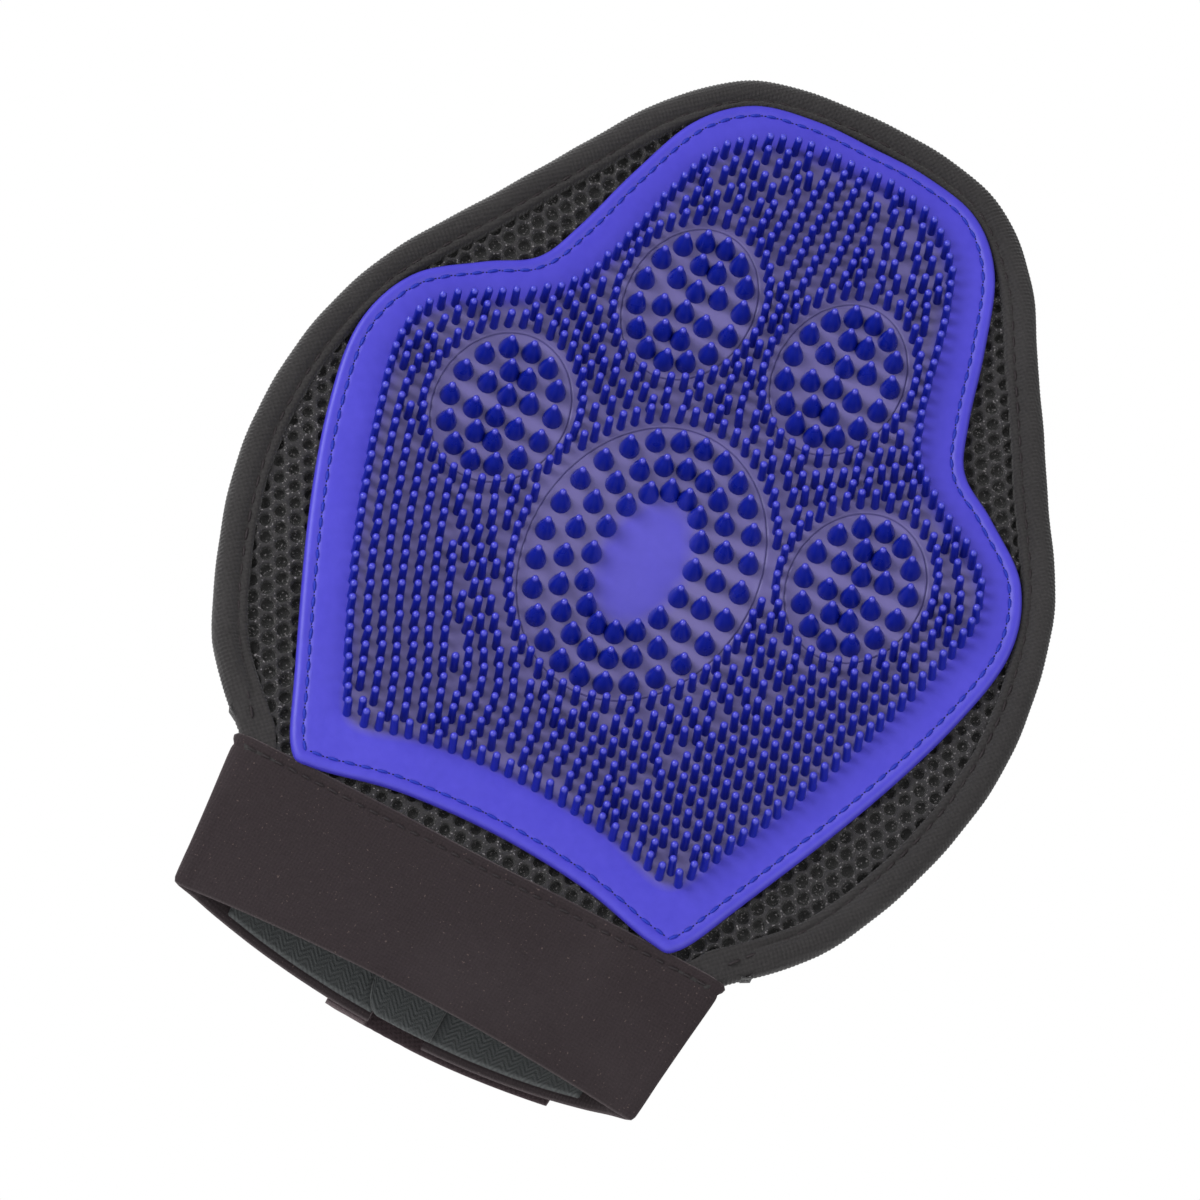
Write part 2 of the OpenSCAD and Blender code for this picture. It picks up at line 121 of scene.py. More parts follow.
def both(c):
    """A right half from the wrist to the top, carried on down its mirror image."""
    m = c[::-1][1:] * [-1, 1]
    return np.vstack([c, m])


def near(points, c):
    """Distance of each point from the curve's points."""
    out = np.full(len(points), 1e9)
    for a in range(0, len(c), 64):
        d = np.linalg.norm(points[:, None, :] - c[None, a:a + 64, :], axis=2).min(axis=1)
        out = np.minimum(out, d)
    return out


def offset(half, d, count):
    """A half outline moved inwards by d, with no loops at its corners."""
    if d <= 0.01:
        return resample(half, count)
    p = half + inward(half) * d
    p[:, 0] = np.maximum(p[:, 0], 0)
    keep = near(p, half) > 0.975 * d
    keep[0] = keep[-1] = True
    return resample(p[keep], count)


def within(points, ring):
    """True for the points inside a closed outline."""
    x, z = points[:, 0], points[:, 1]
    inside = np.zeros(len(points), bool)
    a, b = ring, np.roll(ring, -1, axis=0)
    for (x0, z0), (x1, z1) in zip(a, b):
        if z0 == z1:
            continue
        cross = ((z0 > z) != (z1 > z)) & (x < (x1 - x0) * (z - z0) / (z1 - z0) + x0)
        inside ^= cross
    return inside


def from_oval(p, oval):
    """How far points lie outside an oval, measured towards its centre; negative inside it."""
    cx, cz, w, h = oval
    share = np.hypot((p[:, 0] - cx) / w, (p[:, 1] - cz) / h)
    return np.hypot(p[:, 0] - cx, p[:, 1] - cz) * (1 - 1 / np.maximum(share, 0.05))


def side_name(name, half):
    return name + ("_right" if half > 0 else "_left")


def upright(c, y, half=1):
    """Points of a flat curve, set at y, on the right or mirrored to the left."""
    return np.stack([half * c[:, 0], np.broadcast_to(y, len(c)), c[:, 1]], 1)


BODY_C = resample(smooth(BODY), 500)
PAD_C = resample(smooth(PAD), 600)
FIELD_C = resample(smooth(FIELD), 500)
VELOUR_C = resample(smooth(VELOUR), 700)
INNER_C = offset(smooth(BODY, 5), BIND_W, 120)
VELOUR_RING, FIELD_RING = both(VELOUR_C), both(FIELD_C)


def dome(x, z):
    """Height of the inner face of the back over the seam plane."""
    x, z = np.asarray(x, float), np.asarray(z, float)
    top = INNER_C[-1, 1]
    high = DOME_H * np.maximum(0, 1 - (np.maximum(z - DOME_Z, 0) / (top - DOME_Z)) ** 3)
    low = DOME_H - WRIST_DIP * ((DOME_Z - z) / (DOME_Z - CUFF_H)) ** 2
    ridge = np.where(z > DOME_Z, high, low)
    half = np.maximum(1, np.interp(z, INNER_C[:, 1], INNER_C[:, 0]))
    return ridge * np.maximum(0, 1 - (x / half) ** 2)


def cup(x, z):
    """The glove's free edges lean a little towards the rubber side, with a lazy wave in them."""
    x, z = np.asarray(x, float), np.asarray(z, float)
    fade = step((z - 42) / 60)
    wave = 0.7 * np.sin(z / 19 + np.sign(x) * 0.9) * (x / 80) ** 2
    tip = 1.6 * step((z - 170) / 66) * np.cos(x / 30)
    return -fade * (4.2 * (x / 80) ** 2 + wave - tip)


def bent(p):
    """Applies cup to points whose y is in the flat frame."""
    p = np.array(p, float)
    p[:, 1] += cup(p[:, 0], p[:, 2])
    return p


def worn(p):
    """The cuff narrows towards its free lower edge, and gapes there."""
    p = np.array(p, float)
    drop = np.clip(1 - p[:, 2] / CUFF_H, 0, 1)
    middle = np.clip(1 - (p[:, 0] / CUFF_HALF) ** 2, 0, 1)
    p[:, 1] += np.where(p[:, 1] < FRONT_Y, PALM_GAPE, BACK_GAPE) * drop ** 1.3 * middle
    p[:, 0] *= 0.95 - 0.065 * drop
    return p


# ---------------------------------------------------------------- meshes
def build(name, verts, faces, mat, body=None, slot=None, attrs=None, closed=False):
    """A smooth mesh piece from points in millimetres; attrs are values per point that the materials read."""
    me = bpy.data.meshes.new(name)
    verts = worn(verts) if body in CUFF_BODIES or name in CUFF_PIECES else np.asarray(verts, float)
    me.from_pydata((verts * MM).tolist(), [], [tuple(int(i) for i in f) for f in faces])
    if closed:
        bm = bmesh.new()
        bm.from_mesh(me)
        bmesh.ops.recalc_face_normals(bm, faces=bm.faces)
        bm.to_mesh(me)
        bm.free()
    me.polygons.foreach_set("use_smooth", [True] * len(me.polygons))
    for key, values in (attrs or {}).items():
        a = me.attributes.new(key, "FLOAT", "POINT")
        a.data.foreach_set("value", np.asarray(values, np.float32))
    me.materials.append(mat)
    me.validate()
    o = bpy.data.objects.new(name, me)
    bpy.context.scene.collection.objects.link(o)
    if body:
        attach(o, body)
    return o


def grid(rows, cols, closed=False, start=0, flip=False):
    """Quads of a grid of points; closed joins the last column to the first."""
    i, j = np.meshgrid(np.arange(rows - 1), np.arange(cols if closed else cols - 1), indexing="ij")
    k = (j + 1) % cols
    f = np.stack([i * cols + j, i * cols + k, (i + 1) * cols + k, (i + 1) * cols + j], -1).reshape(-1, 4) + start
    return f[:, ::-1] if flip else f


class Parts:
    """Collects pieces of one mesh."""

    def __init__(self):
        self.v, self.f, self.n, self.a = [], [], 0, []

    def add(self, verts, faces, attr=None):
        verts = np.asarray(verts, float)
        self.f.extend((np.asarray(faces) + self.n).tolist() if isinstance(faces, np.ndarray)
                      else [[i + self.n for i in f] for f in faces])
        self.v.append(verts)
        self.a.append(np.zeros(len(verts)) if attr is None else np.asarray(attr, float))
        self.n += len(verts)

    def make(self, name, mat, body=None, slot=None, key=None, closed=True):
        attrs = {key: np.concatenate(self.a)} if key else None
        return build(name, np.vstack(self.v), self.f, mat, body, slot, attrs, closed)


def capsule(a, b, r, up, sag=0.0, sides=7, rings=7):
    """A stitch from a to b: a rounded thread that rises in its middle by sag along up."""
    a, b, up = (np.asarray(q, float) for q in (a, b, up))
    d = b - a
    size = np.linalg.norm(d)
    d = d / size
    side = np.cross(d, up)
    side /= np.linalg.norm(side)
    top = np.cross(side, d)
    t = np.linspace(0, 1, rings)
    width = r * np.sqrt(np.clip(1 - (2 * t - 1) ** 6, 0.05, 1))
    ang = np.linspace(0, 2 * np.pi, sides, endpoint=False)
    mid = a + d * (t * size)[:, None] + top * (sag * np.sin(np.pi * t))[:, None]
    ring = (side[None] * np.cos(ang)[:, None] + top[None] * np.sin(ang)[:, None])
    v = mid[:, None, :] + ring[None] * width[:, None, None]
    v = v.reshape(-1, 3)
    f = [list(q) for q in grid(rings, sides, closed=True)]
    f.append(list(range(sides))[::-1])
    f.append([(rings - 1) * sides + k for k in range(sides)])
    return v, f


SUNK = 0.14  # how deep a stitch's ends sit in the cloth


def stitch_line(parts, path, pitch, size, r, up, holes=None, rise=0.22):
    """Stitches along a 3-D path, with up as one normal or a normal per point. holes takes their needle holes: dark
    capsules that paint the shade in the holes.
    """
    total = length(path)
    count = max(2, int(total / pitch))
    fine = resample(path, count * 8 + 1)
    ups = np.broadcast_to(np.asarray(up, float), path.shape)
    fine_up = resample(ups, count * 8 + 1) if len(np.unique(ups, axis=0)) > 1 else np.repeat(ups[:1], len(fine), 0)
    for k in range(count):
        m = k * 8 + 4
        c = fine[m]
        d = fine[min(m + 2, len(fine) - 1)] - fine[m - 2]
        d /= np.linalg.norm(d)
        n = fine_up[m]
        side = np.cross(d, n)
        d = d + side * rng.normal(0, 0.05)
        half = size / 2 * (1 + rng.normal(0, 0.05))
        parts.add(*capsule(c - d * half - n * SUNK, c + d * half - n * SUNK, r, n, sag=rise + SUNK))
        if holes is not None:
            for e in (-1, 1):
                q = c + d * half * e * 1.08
                v, f = capsule(q - d * 0.34, q + d * 0.34, 0.34, n, sides=8, rings=5)
                holes.add(v - n * 0.24, f)


def stitches(name, lines, mat, slot, node, body=None):
    """Rows of stitches as one piece that stands for a node. lines: what stitch_line takes after parts."""
    parts = Parts()
    for path, pitch, size, r, up, rise, *holes in lines:
        stitch_line(parts, path, pitch, size, r, up, *holes, rise=rise)
    o = parts.make(name, mat, body, slot)
    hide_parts(node)
    return o


# ---------------------------------------------------------------- materials
def material(name, color, dark=None, rough=0.8, noise=900.0, mix=0.5, bump=0.25, bump_scale=None, spec=0.3,
             sheen=0.0, sheen_tint=None, waves=(), spots=None, tints=(), depth=0.0002, patch=None,
             sparse=False):
    """Procedural surface: two tones of colour in noise, thread waves and fine bump of the given depth in metres.
    waves: (axis, period in metres, strength, slant) each. tints: (attribute, colour) each.
    spots: (density, colour, threshold), kept to some areas where sparse. patch: strength of large uneven areas."""
    m = bpy.data.materials.new(name)
    m.use_nodes = True
    t = m.node_tree
    n, link = t.nodes, t.links
    out = n["Principled BSDF"]
    coord = n.new("ShaderNodeTexCoord")

    def tex(scale, detail=3.0, roughness=0.55):
        q = n.new("ShaderNodeTexNoise")
        q.inputs["Scale"].default_value = scale
        q.inputs["Detail"].default_value = detail
        q.inputs["Roughness"].default_value = roughness
        link.new(coord.outputs["Object"], q.inputs["Vector"])
        return q.outputs["Fac"]

    def feed(socket, value):
        if isinstance(value, (int, float)):
            socket.default_value = value
        elif isinstance(value, tuple):
            socket.default_value = (*value, 1)
        else:
            link.new(value, socket)

    def math_node(op, *values):
        q = n.new("ShaderNodeMath")
        q.operation = op
        for socket, value in zip(q.inputs, values):
            feed(socket, value)
        return q.outputs[0]

    def blend_color(fac, a, b):
        q = n.new("ShaderNodeMix")
        q.data_type = "RGBA"
        for k, value in ((0, fac), (6, a), (7, b)):
            feed(q.inputs[k], value)
        return q.outputs[2]

    dark = dark or tuple(c * 0.6 for c in color)
    grain = tex(noise)
    fac = math_node("MULTIPLY", math_node("MULTIPLY_ADD", grain, 1.6, -0.3), mix)
    height = grain
    for axis, period, strength, slant in waves:
        w = n.new("ShaderNodeTexWave")
        w.bands_direction = axis
        w.inputs["Scale"].default_value = 0.314159 / period
        w.inputs["Distortion"].default_value = 0.6
        w.inputs["Detail"].default_value = 1.0
        w.inputs["Detail Scale"].default_value = 2.0
        place = coord.outputs["Object"]
        if slant:
            turn = n.new("ShaderNodeMapping")
            turn.inputs["Rotation"].default_value = slant
            link.new(place, turn.inputs["Vector"])
            place = turn.outputs["Vector"]
        link.new(place, w.inputs["Vector"])
        height = math_node("ADD", height, math_node("MULTIPLY", w.outputs["Fac"], strength))
        fac = math_node("ADD", fac, math_node("MULTIPLY", w.outputs["Fac"], strength * 0.35))
    base = blend_color(math_node("MINIMUM", fac, 1.0), color, dark)
    if patch:
        lift = math_node("MAXIMUM", math_node("MULTIPLY_ADD", tex(28.0, 4.0, 0.6), patch * 2, -patch), 0.0)
        base = blend_color(lift, base, tuple(min(1, c * 1.5 + 0.02) for c in color))
    for key, other in tints:
        a = n.new("ShaderNodeAttribute")
        a.attribute_name = key
        base = blend_color(a.outputs["Fac"], base, other)
    if spots:
        fleck = tex(spots[0], 1.0, 0.4)
        ramp = math_node("GREATER_THAN", fleck, spots[2])
        if sparse:
            area = math_node("MULTIPLY_ADD", tex(55.0, 4.0, 0.7), 3.4, -1.35)
            ramp = math_node("MULTIPLY", ramp, math_node("MINIMUM", math_node("MAXIMUM", area, 0.10), 0.8))
        base = blend_color(ramp, base, spots[1])
    link.new(base, out.inputs["Base Color"])
    link.new(math_node("MULTIPLY_ADD", tex(noise * 0.35), 0.24, max(0.02, rough - 0.12)), out.inputs["Roughness"])
    for key, value in (("Specular IOR Level", spec), ("Sheen Weight", sheen), ("Sheen Roughness", 0.45)):
        out.inputs[key].default_value = value
    if sheen_tint:
        out.inputs["Sheen Tint"].default_value = (*sheen_tint, 1)
    if bump:
        fine = tex(bump_scale or noise * 2.2, 2.0)
        q = n.new("ShaderNodeBump")
        q.inputs["Strength"].default_value = bump
        q.inputs["Distance"].default_value = depth
        link.new(math_node("ADD", height, fine), q.inputs["Height"])
        link.new(q.outputs["Normal"], out.inputs["Normal"])
    m.diffuse_color = (*color, 1)
    return m


RUBBER = material("pad_rubber", (0.045, 0.036, 0.41), (0.032, 0.026, 0.35), rough=0.46, noise=420, mix=0.7, bump=0.12,
                  # painted shade: the line tint darkens the grooves round the ovals
                  spec=0.38, tints=(("field", (0.135, 0.115, 0.255)), ("line", (0.025, 0.018, 0.13))), patch=0.35)
# painted highlight: the tip tint lightens the top of each pin
PIN = material("pin_rubber", (0.0035, 0.009, 0.24), (0.002, 0.006, 0.18), rough=0.33, noise=700, mix=0.3, bump=0.03,
               spec=0.5, tints=(("tip", (0.038, 0.038, 0.42)),))
# painted highlight: the tip tint lightens the top of each stud
STUD = material("stud_rubber", (0.0035, 0.010, 0.23), (0.002, 0.007, 0.18), rough=0.30, noise=600, mix=0.3, bump=0.03,
                spec=0.55, tints=(("tip", (0.038, 0.038, 0.40)),))
MESH = material("spacer_mesh", (0.0150, 0.0132, 0.0148), (0.0045, 0.004, 0.0045), rough=0.5, noise=1900, mix=0.9,
                # painted highlight: the spots are small glints on the strands
                bump=1.0, spec=0.4, sheen=0.1, depth=0.0004, spots=(2300.0, (0.17, 0.16, 0.165), 0.67),
                # painted shade: the pit tint darkens the pits and the inner face
                tints=(("pit", (0.0015, 0.0015, 0.0015)),))
BINDING = material("knit_binding", (0.029, 0.027, 0.0275), (0.014, 0.013, 0.0135), rough=0.85, noise=1500, mix=0.7,
                   bump=0.7, spec=0.18, sheen=0.15, patch=0.3,
                   waves=(("X", 0.0009, 0.5, (0, 0.8, 0)), ("Z", 0.0009, 0.5, (0, 0.8, 0))))
CUFF = material("cuff_knit", (0.0250, 0.0180, 0.0205), (0.011, 0.0079, 0.009), rough=0.88, noise=2600, mix=0.75,
                bump=0.5, spec=0.16, sheen=0.25, sheen_tint=(0.75, 0.64, 0.66), patch=0.3,
                spots=(1900.0, (0.075, 0.055, 0.052), 0.75),
                waves=(("X", 0.00075, 0.35, None), ("Z", 0.0008, 0.45, None)))
TAB = material("tab_knit", (0.044, 0.030, 0.033), (0.021, 0.014, 0.017), rough=0.88, noise=2600, mix=0.75, bump=0.7,
               spec=0.18, sheen=0.3, sheen_tint=(0.8, 0.66, 0.68), patch=0.3,
               # painted shade in the fold at the strap's root
               tints=(("fold", (0.020, 0.010, 0.014)),),
               waves=(("X", 0.0010, 0.5, (0, 0.5, 0)), ("Z", 0.0010, 0.5, (0, 0.5, 0))))
# painted shade: the valley tint darkens the low parts of the herringbone
LINING = material("herringbone_lining", (0.075, 0.082, 0.084), (0.040, 0.043, 0.044), rough=0.75, noise=1800, mix=0.5,
                  bump=0.5, spec=0.3, sheen=0.25, tints=(("painted_valley_shade", (0.010, 0.011, 0.0115)),))
INSIDE = material("inner_lining", (0.050, 0.052, 0.064), (0.022, 0.023, 0.030), rough=0.85, noise=1500, mix=0.8,
                  bump=0.6, spec=0.2, sheen=0.15, waves=(("X", 0.0009, 0.5, None), ("Z", 0.0009, 0.5, None)))
# painted highlight: the spots are small glints of sparkle, kept to some areas
VELVET = material("velour_pile", (0.0015, 0.132, 0.68), (0.0006, 0.060, 0.44), rough=0.6, noise=1300, mix=0.6,
                  bump=0.7, spec=0.25, sheen=0.35, sheen_tint=(0.02, 0.35, 1.0), patch=0.5, sparse=True,
                  # painted shade: the valley tint darkens the velour between its knit loops and in the valleys of its
                  # folds
                  spots=(2100.0, (0.42, 0.72, 1.0), 0.69), tints=(("painted_valley_shade", (0.0004, 0.020, 0.24)),))
# painted shade: the valley tint darkens the grooves of the twill
SATIN = material("satin_edge", (0.030, 0.30, 0.88), (0.012, 0.20, 0.74), rough=0.55, noise=1800, mix=0.6, bump=0.5,
                 spec=0.35, sheen=0.2, sheen_tint=(0.2, 0.6, 1.0), tints=(("painted_valley_shade", (0.001, 0.060, 0.42)),))
THREAD = dict(noise=3000, mix=0.7, bump=0.5)
BLUE_THREAD = material("blue_thread", (0.006, 0.020, 0.36), (0.003, 0.010, 0.22), rough=0.5, **THREAD)
VELOUR_THREAD = material("velour_thread", (0.006, 0.13, 0.72), (0.003, 0.07, 0.5), rough=0.45, spec=0.5, **THREAD)
DARK_THREAD = material("dark_thread", (0.016, 0.011, 0.013), (0.007, 0.005, 0.006), rough=0.6, **THREAD)
# painted shade: near-black blobs stand for the shadowed needle holes
HOLE_SHADE = material("needle_hole_shade", (0.004, 0.004, 0.05), (0.002, 0.002, 0.02), rough=0.9, noise=3000, bump=0.0)
PILE = material("loop_pile", (0.030, 0.029, 0.030), (0.010, 0.010, 0.010), rough=0.95, noise=1400, mix=0.9, bump=1.0,
                spec=0.15, sheen=0.6, depth=0.0005)
FIBRE = material("loop_fibre", (0.050, 0.049, 0.052), (0.020, 0.020, 0.022), rough=0.7, noise=3000, mix=0.6,
                 bump=0.0, spec=0.4)
SELVAGE = material("loop_selvage", (0.085, 0.083, 0.086), (0.030, 0.030, 0.031), rough=0.7, noise=2400, mix=0.7,
                   bump=0.7, spec=0.3, waves=(("Z", 0.0006, 0.6, None),))
HOOKS = material("hook_plastic", (0.014, 0.014, 0.015), (0.008, 0.008, 0.008), rough=0.45, bump=0.3)


# ---------------------------------------------------------------- spacer mesh panels
# rings of a pit: radius, depth, darkness, which is painted shade in the pit
PIT = ((1.60, 0.02, 0.0), (1.46, 0.22, 0.1), (1.34, 0.6, 0.55), (1.26, 1.4, 1.0))


def mesh_panel(name, outline, hidden, surf, sign, halves, pitch=3.8):
    """Hexagonal net over the points inside outline, with a pit in each cell that isn't inside hidden.
    surf(x, z) is the inner face; sign is the way out of it. Makes one object for each of halves: 0 is the whole."""
    pos = []
    for r, z in enumerate(np.arange(MESH_LOW, 236, pitch * math.sqrt(3) / 2)):
        pos += [(k * pitch + (pitch / 2 if r % 2 else 0), z) for k in range(-26, 27)]
    pos = np.array(pos)
    pos = pos[within(pos, outline)]
    pit = ~within(pos, hidden)
    ang = np.radians(np.arange(TEETH) * 30 + 30)
    reach = np.where(np.arange(TEETH) % 2 == 0, pitch / math.sqrt(3), pitch / 2)
    out = []
    for half in halves:
        side = {0: np.ones(len(pos), bool), 1: pos[:, 0] > -0.1, -1: pos[:, 0] < 0.1}[half]
        mine = np.nonzero(side)[0]
        verts, keys, faces, level, painted_pit_shade = [], {}, [], [], []

        def corner(x, z):
            key = (round(x * 20), round(z * 20))
            if key not in keys:
                keys[key] = len(verts)
                if half * x < 0:
                    x = 0.0
                verts.append((x, z))
                level.append(MESH_T)
                painted_pit_shade.append(0.0)
            return keys[key]

        uses = {}
        rims = []
        for i in mine:
            cx, cz = pos[i]
            ring = [corner(cx + reach[k] * math.cos(ang[k]), cz + reach[k] * math.sin(ang[k])) for k in range(TEETH)]
            for a, b in zip(ring, ring[1:] + ring[:1]):
                uses[(a, b)] = uses.get((a, b), 0) + 1
            straddle = half and abs(cx) < 0.2
            if not pit[i] or straddle:
                rims.append((ring, None))
                continue
            r0 = 1.0 + 0.10 * math.sin(cx * 1.7 + cz * 0.9)
            rings = [ring]
            for rad, drop, dark in PIT:
                rings.append(list(range(len(verts), len(verts) + TEETH)))
                verts += [(cx + rad * r0 * math.cos(t), cz + rad * r0 * 1.06 * math.sin(t)) for t in ang]
                level += [MESH_T - drop] * TEETH
                painted_pit_shade += [dark] * TEETH
            rims.append((None, rings))
        top = len(verts)
        for ring, rings in rims:
            if ring:
                faces.append(ring)
                continue
            for a, b in zip(rings, rings[1:]):
                for k in range(TEETH):
                    m = (k + 1) % TEETH
                    faces.append([a[k], a[m], b[m], b[k]])
            faces.append(rings[-1])
        # inner face: the same corners, without pits
        under = {corner_of: top + i for i, corner_of in enumerate(keys.values())}
        v2 = verts + [verts[k] for k in under]
        level2 = level + [0.15] * len(under)
        # painted shade on the inner face
        pit_and_underside_shade = painted_pit_shade + [0.3] * len(under)
        for ring, rings in rims:
            ring = ring or rings[0]
            faces.append([under[k] for k in ring][::-1])
        for (a, b) in uses:
            if (b, a) not in uses:
                faces.append([b, a, under[a], under[b]])
        xz = np.array(v2)
        lev = np.array(level2) + 0.10 * np.sin(xz[:, 0] * 2.1) * np.sin(xz[:, 1] * 1.7) * (np.array(level2) > 1.5)
        y = surf(xz[:, 0], xz[:, 1]) + sign * lev
        v = bent(np.stack([xz[:, 0], y, xz[:, 1]], 1))
        if sign > 0:
            faces = [f[::-1] for f in faces]
        piece = side_name(name, half) if half else name
        out.append(build(piece, v, faces, MESH, attrs={"pit": pit_and_underside_shade}, closed=True))
    return out


PANEL_RING = both(offset(BODY_C, 3.0, 400))
PANEL_RING = np.vstack([[54, 33.5], PANEL_RING, [-54, 33.5]])
UNDER_PAD = both(offset(PAD_C, 2.6, 300))
palm = mesh_panel("palm_mesh", PANEL_RING, UNDER_PAD, lambda x, z: SEAM + 0 * x, -1, [0])[0]
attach(palm, "glove")
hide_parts("palm_panel")

HOLE_R = 11.2  # half width of the slit in the mesh
arch = [(HOLE_R * math.cos(t), SLIT_TOP + HOLE_R * math.sin(t)) for t in np.linspace(0.15, math.pi - 0.15, 14)]
arch = [(-HOLE_R, SLIT_TOP), *arch[::-1], (HOLE_R, SLIT_TOP)]
BACK_RING = np.vstack([PANEL_RING, [(-54, 33.6), (-HOLE_R, 33.6)], arch, [(HOLE_R, 33.6)]])
UNDER_VELOUR = both(offset(VELOUR_C, 1.6, 300))
UNDER_VELOUR = np.vstack([[0, 59], UNDER_VELOUR, [0, 59]])


def spread(o):
    """Bakes a back piece's transform into its mesh."""
    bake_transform(o)
    return o


backs = mesh_panel("back_mesh", BACK_RING, UNDER_VELOUR, lambda x, z: SEAM + dome(x, z), 1, [1, -1])
for half, o in zip((1, -1), backs):
    spread(o)
    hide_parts("back_panel")


# ---------------------------------------------------------------- edge binding
def sweep(path, normals, profile, twill=None, closed=True, puff=None):
    """Profile points (n, y) carried along a flat path: n along its normals, y out of the seam plane."""
    prof = np.array(profile, float)
    d = np.gradient(prof, axis=0) if not closed else (np.roll(prof, -1, 0) - np.roll(prof, 1, 0))
    out = np.stack([d[:, 1], -d[:, 0]], 1)
    out /= np.maximum(np.linalg.norm(out, axis=1), 1e-6)[:, None]
    s = np.concatenate([[0], np.cumsum(np.linalg.norm(np.diff(path, axis=0), axis=1))])
    run = np.concatenate([[0], np.cumsum(np.linalg.norm(np.diff(prof, axis=0), axis=1))])
    amount = np.zeros((len(path), len(prof)))
    if twill:
        pitch, depth, slant = twill
        amount += depth * np.sin(2 * np.pi * (s[:, None] + slant * run[None]) / pitch)
    if puff is not None:
        amount += puff(s[:, None], run[None])
    n = prof[None, :, 0] + out[None, :, 0] * amount
    y = prof[None, :, 1] + out[None, :, 1] * amount
    x = path[:, None, 0] + normals[:, None, 0] * n
    z = path[:, None, 1] + normals[:, None, 1] * n
    return np.stack([x, y, z], -1), amount


# cross-section of the binding: inwards from the outline, and out of the seam plane
ROLL = [(7.3, -1.9), (7.2, -2.5), (6.8, -2.95), (6.2, -3.05), (5.75, -2.85), (5.45, -2.6), (5.1, -2.85), (4.5, -3.35),
        (3.6, -3.75), (2.6, -3.8), (1.6, -3.5), (0.7, -2.8), (0.05, -1.7), (-0.25, -0.6)]
ROLL = ROLL + [(n, -y) for n, y in ROLL[::-1]]
# the binding's path draws in towards the wrist, where the cuff takes it up, and flattens there
tucked = BODY_C.copy()
tucked[:, 0] -= 3.4 * np.clip(1 - (tucked[:, 1] - 36) / 16, 0, 1) ** 1.5 * (tucked[:, 0] > 40)
ring = resample(np.vstack([[[54.2, 30.0], [55.9, 33.0]], tucked]), 1050)
ring = both(ring)
v, amount = sweep(ring, inward(ring), ROLL[::-1], twill=(0.95, 0.09, 0.8),
                  puff=lambda s, r: 0.16 * np.sin(s / 9 + r / 5) * np.sin(s / 23) + 0.05 * np.sin(s / 2.4))
thin = np.maximum(np.abs(v[..., 1]) * (0.3 + 0.7 * step((v[..., 2] - 36.5) / 12)), 2.35)
v[..., 1] = SEAM + np.sign(v[..., 1]) * np.minimum(np.abs(v[..., 1]), thin)
faces = grid(*v.shape[:2], closed=True)
o = build("edge_roll", bent(v.reshape(-1, 3)), faces, BINDING, "glove", "knit_binding", closed=True)
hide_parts("edge_binding")
lines = []
seam = offset(BODY_C, 5.45, 400)
for half in (1, -1):
    for face in (-1, 1):
        lines.append((bent(upright(seam, SEAM + face * 2.62, half)), 4.0, 2.9, 0.3, (0, face, 0), 0.1))
stitches("edge_roll_stitches", lines, DARK_THREAD, "dark_thread", "binding_stitching", "glove")


# ---------------------------------------------------------------- rubber pad
# the pad's edge from its underside to its floor: inwards from the outline, and out of the seam plane
LIP = [(0.7, -2.0), (0.15, -2.25), (0.0, -2.9), (0.1, -3.5), (0.35, -4.0), (0.8, -4.3), (1.4, -4.38), (2.0, -4.33),
       (2.4, -4.22), (2.65, -4.12), (2.85, -4.08), (3.05, -4.12), (3.3, -4.2), (3.8, -4.24), (4.6, -4.25)]
COUNT = 420
rings = [both(offset(PAD_C, d, COUNT))[:-1] for d, _ in LIP]
inner = rings[-1]
n = len(inner)
verts = [upright(r, y) for r, (_, y) in zip(rings, LIP)]
faces = [list(f) for f in grid(len(LIP), n, closed=True)]
# the line round an oval: outwards from it, height, and darkness, which is painted shade in its groove
BEAD = [(-0.6, 0.0, 0), (-0.32, 0.07, 0), (-0.16, -0.02, 0.25), (0.0, -0.30, 1), (0.16, -0.02, 0.25), (0.32, 0.07, 0),
        (0.6, 0.0, 0)]
points, edges, heights = [tuple(p) for p in inner], [(i, (i + 1) % n) for i in range(n)], [(0.0, 0.0)] * n
for cx, cz, w, h in OVALS:
    for d, up, dark in BEAD:
        first, m = len(points), 96
        for k in range(m):
            t = 2 * math.pi * k / m
            points.append((cx + (w + d) * math.cos(t), cz + (h + d) * math.sin(t)))
            edges.append((first + k, first + (k + 1) % m))
            heights.append((up, dark))
for d in (-1.0, 0.2, 1.4, 2.6):
    q = both(resample(FIELD_C - inward(FIELD_C) * -d, 300))[:-1]
    keep = near(q, FIELD_RING) > 0.9 * abs(d)
    q = q[keep & (near(q, inner) > 0.6)]
    for oval in OVALS:
        q = q[np.abs(from_oval(q, oval)) > 1.2]
    points += [tuple(p) for p in q]
    heights += [(0.0, 0.0)] * len(q)
gx, gz = np.meshgrid(np.arange(-78, 79, 2.5), np.arange(38, 228, 2.5))
fill = np.stack([gx.ravel() + 1.25 * (np.round(gz.ravel() / 2.5) % 2), gz.ravel()], 1)
fill = fill[within(fill, inner)]
fill = fill[near(fill, inner) > 1.5]
span = near(fill, FIELD_RING) * np.where(within(fill, FIELD_RING), 1, -1)
fill = fill[(span < -2.0) | (span > 3.6)]
for oval in OVALS:
    fill = fill[np.abs(from_oval(fill, oval)) > 1.6]
points += [tuple(p) for p in fill]
heights += [(0.0, 0.0)] * len(fill)
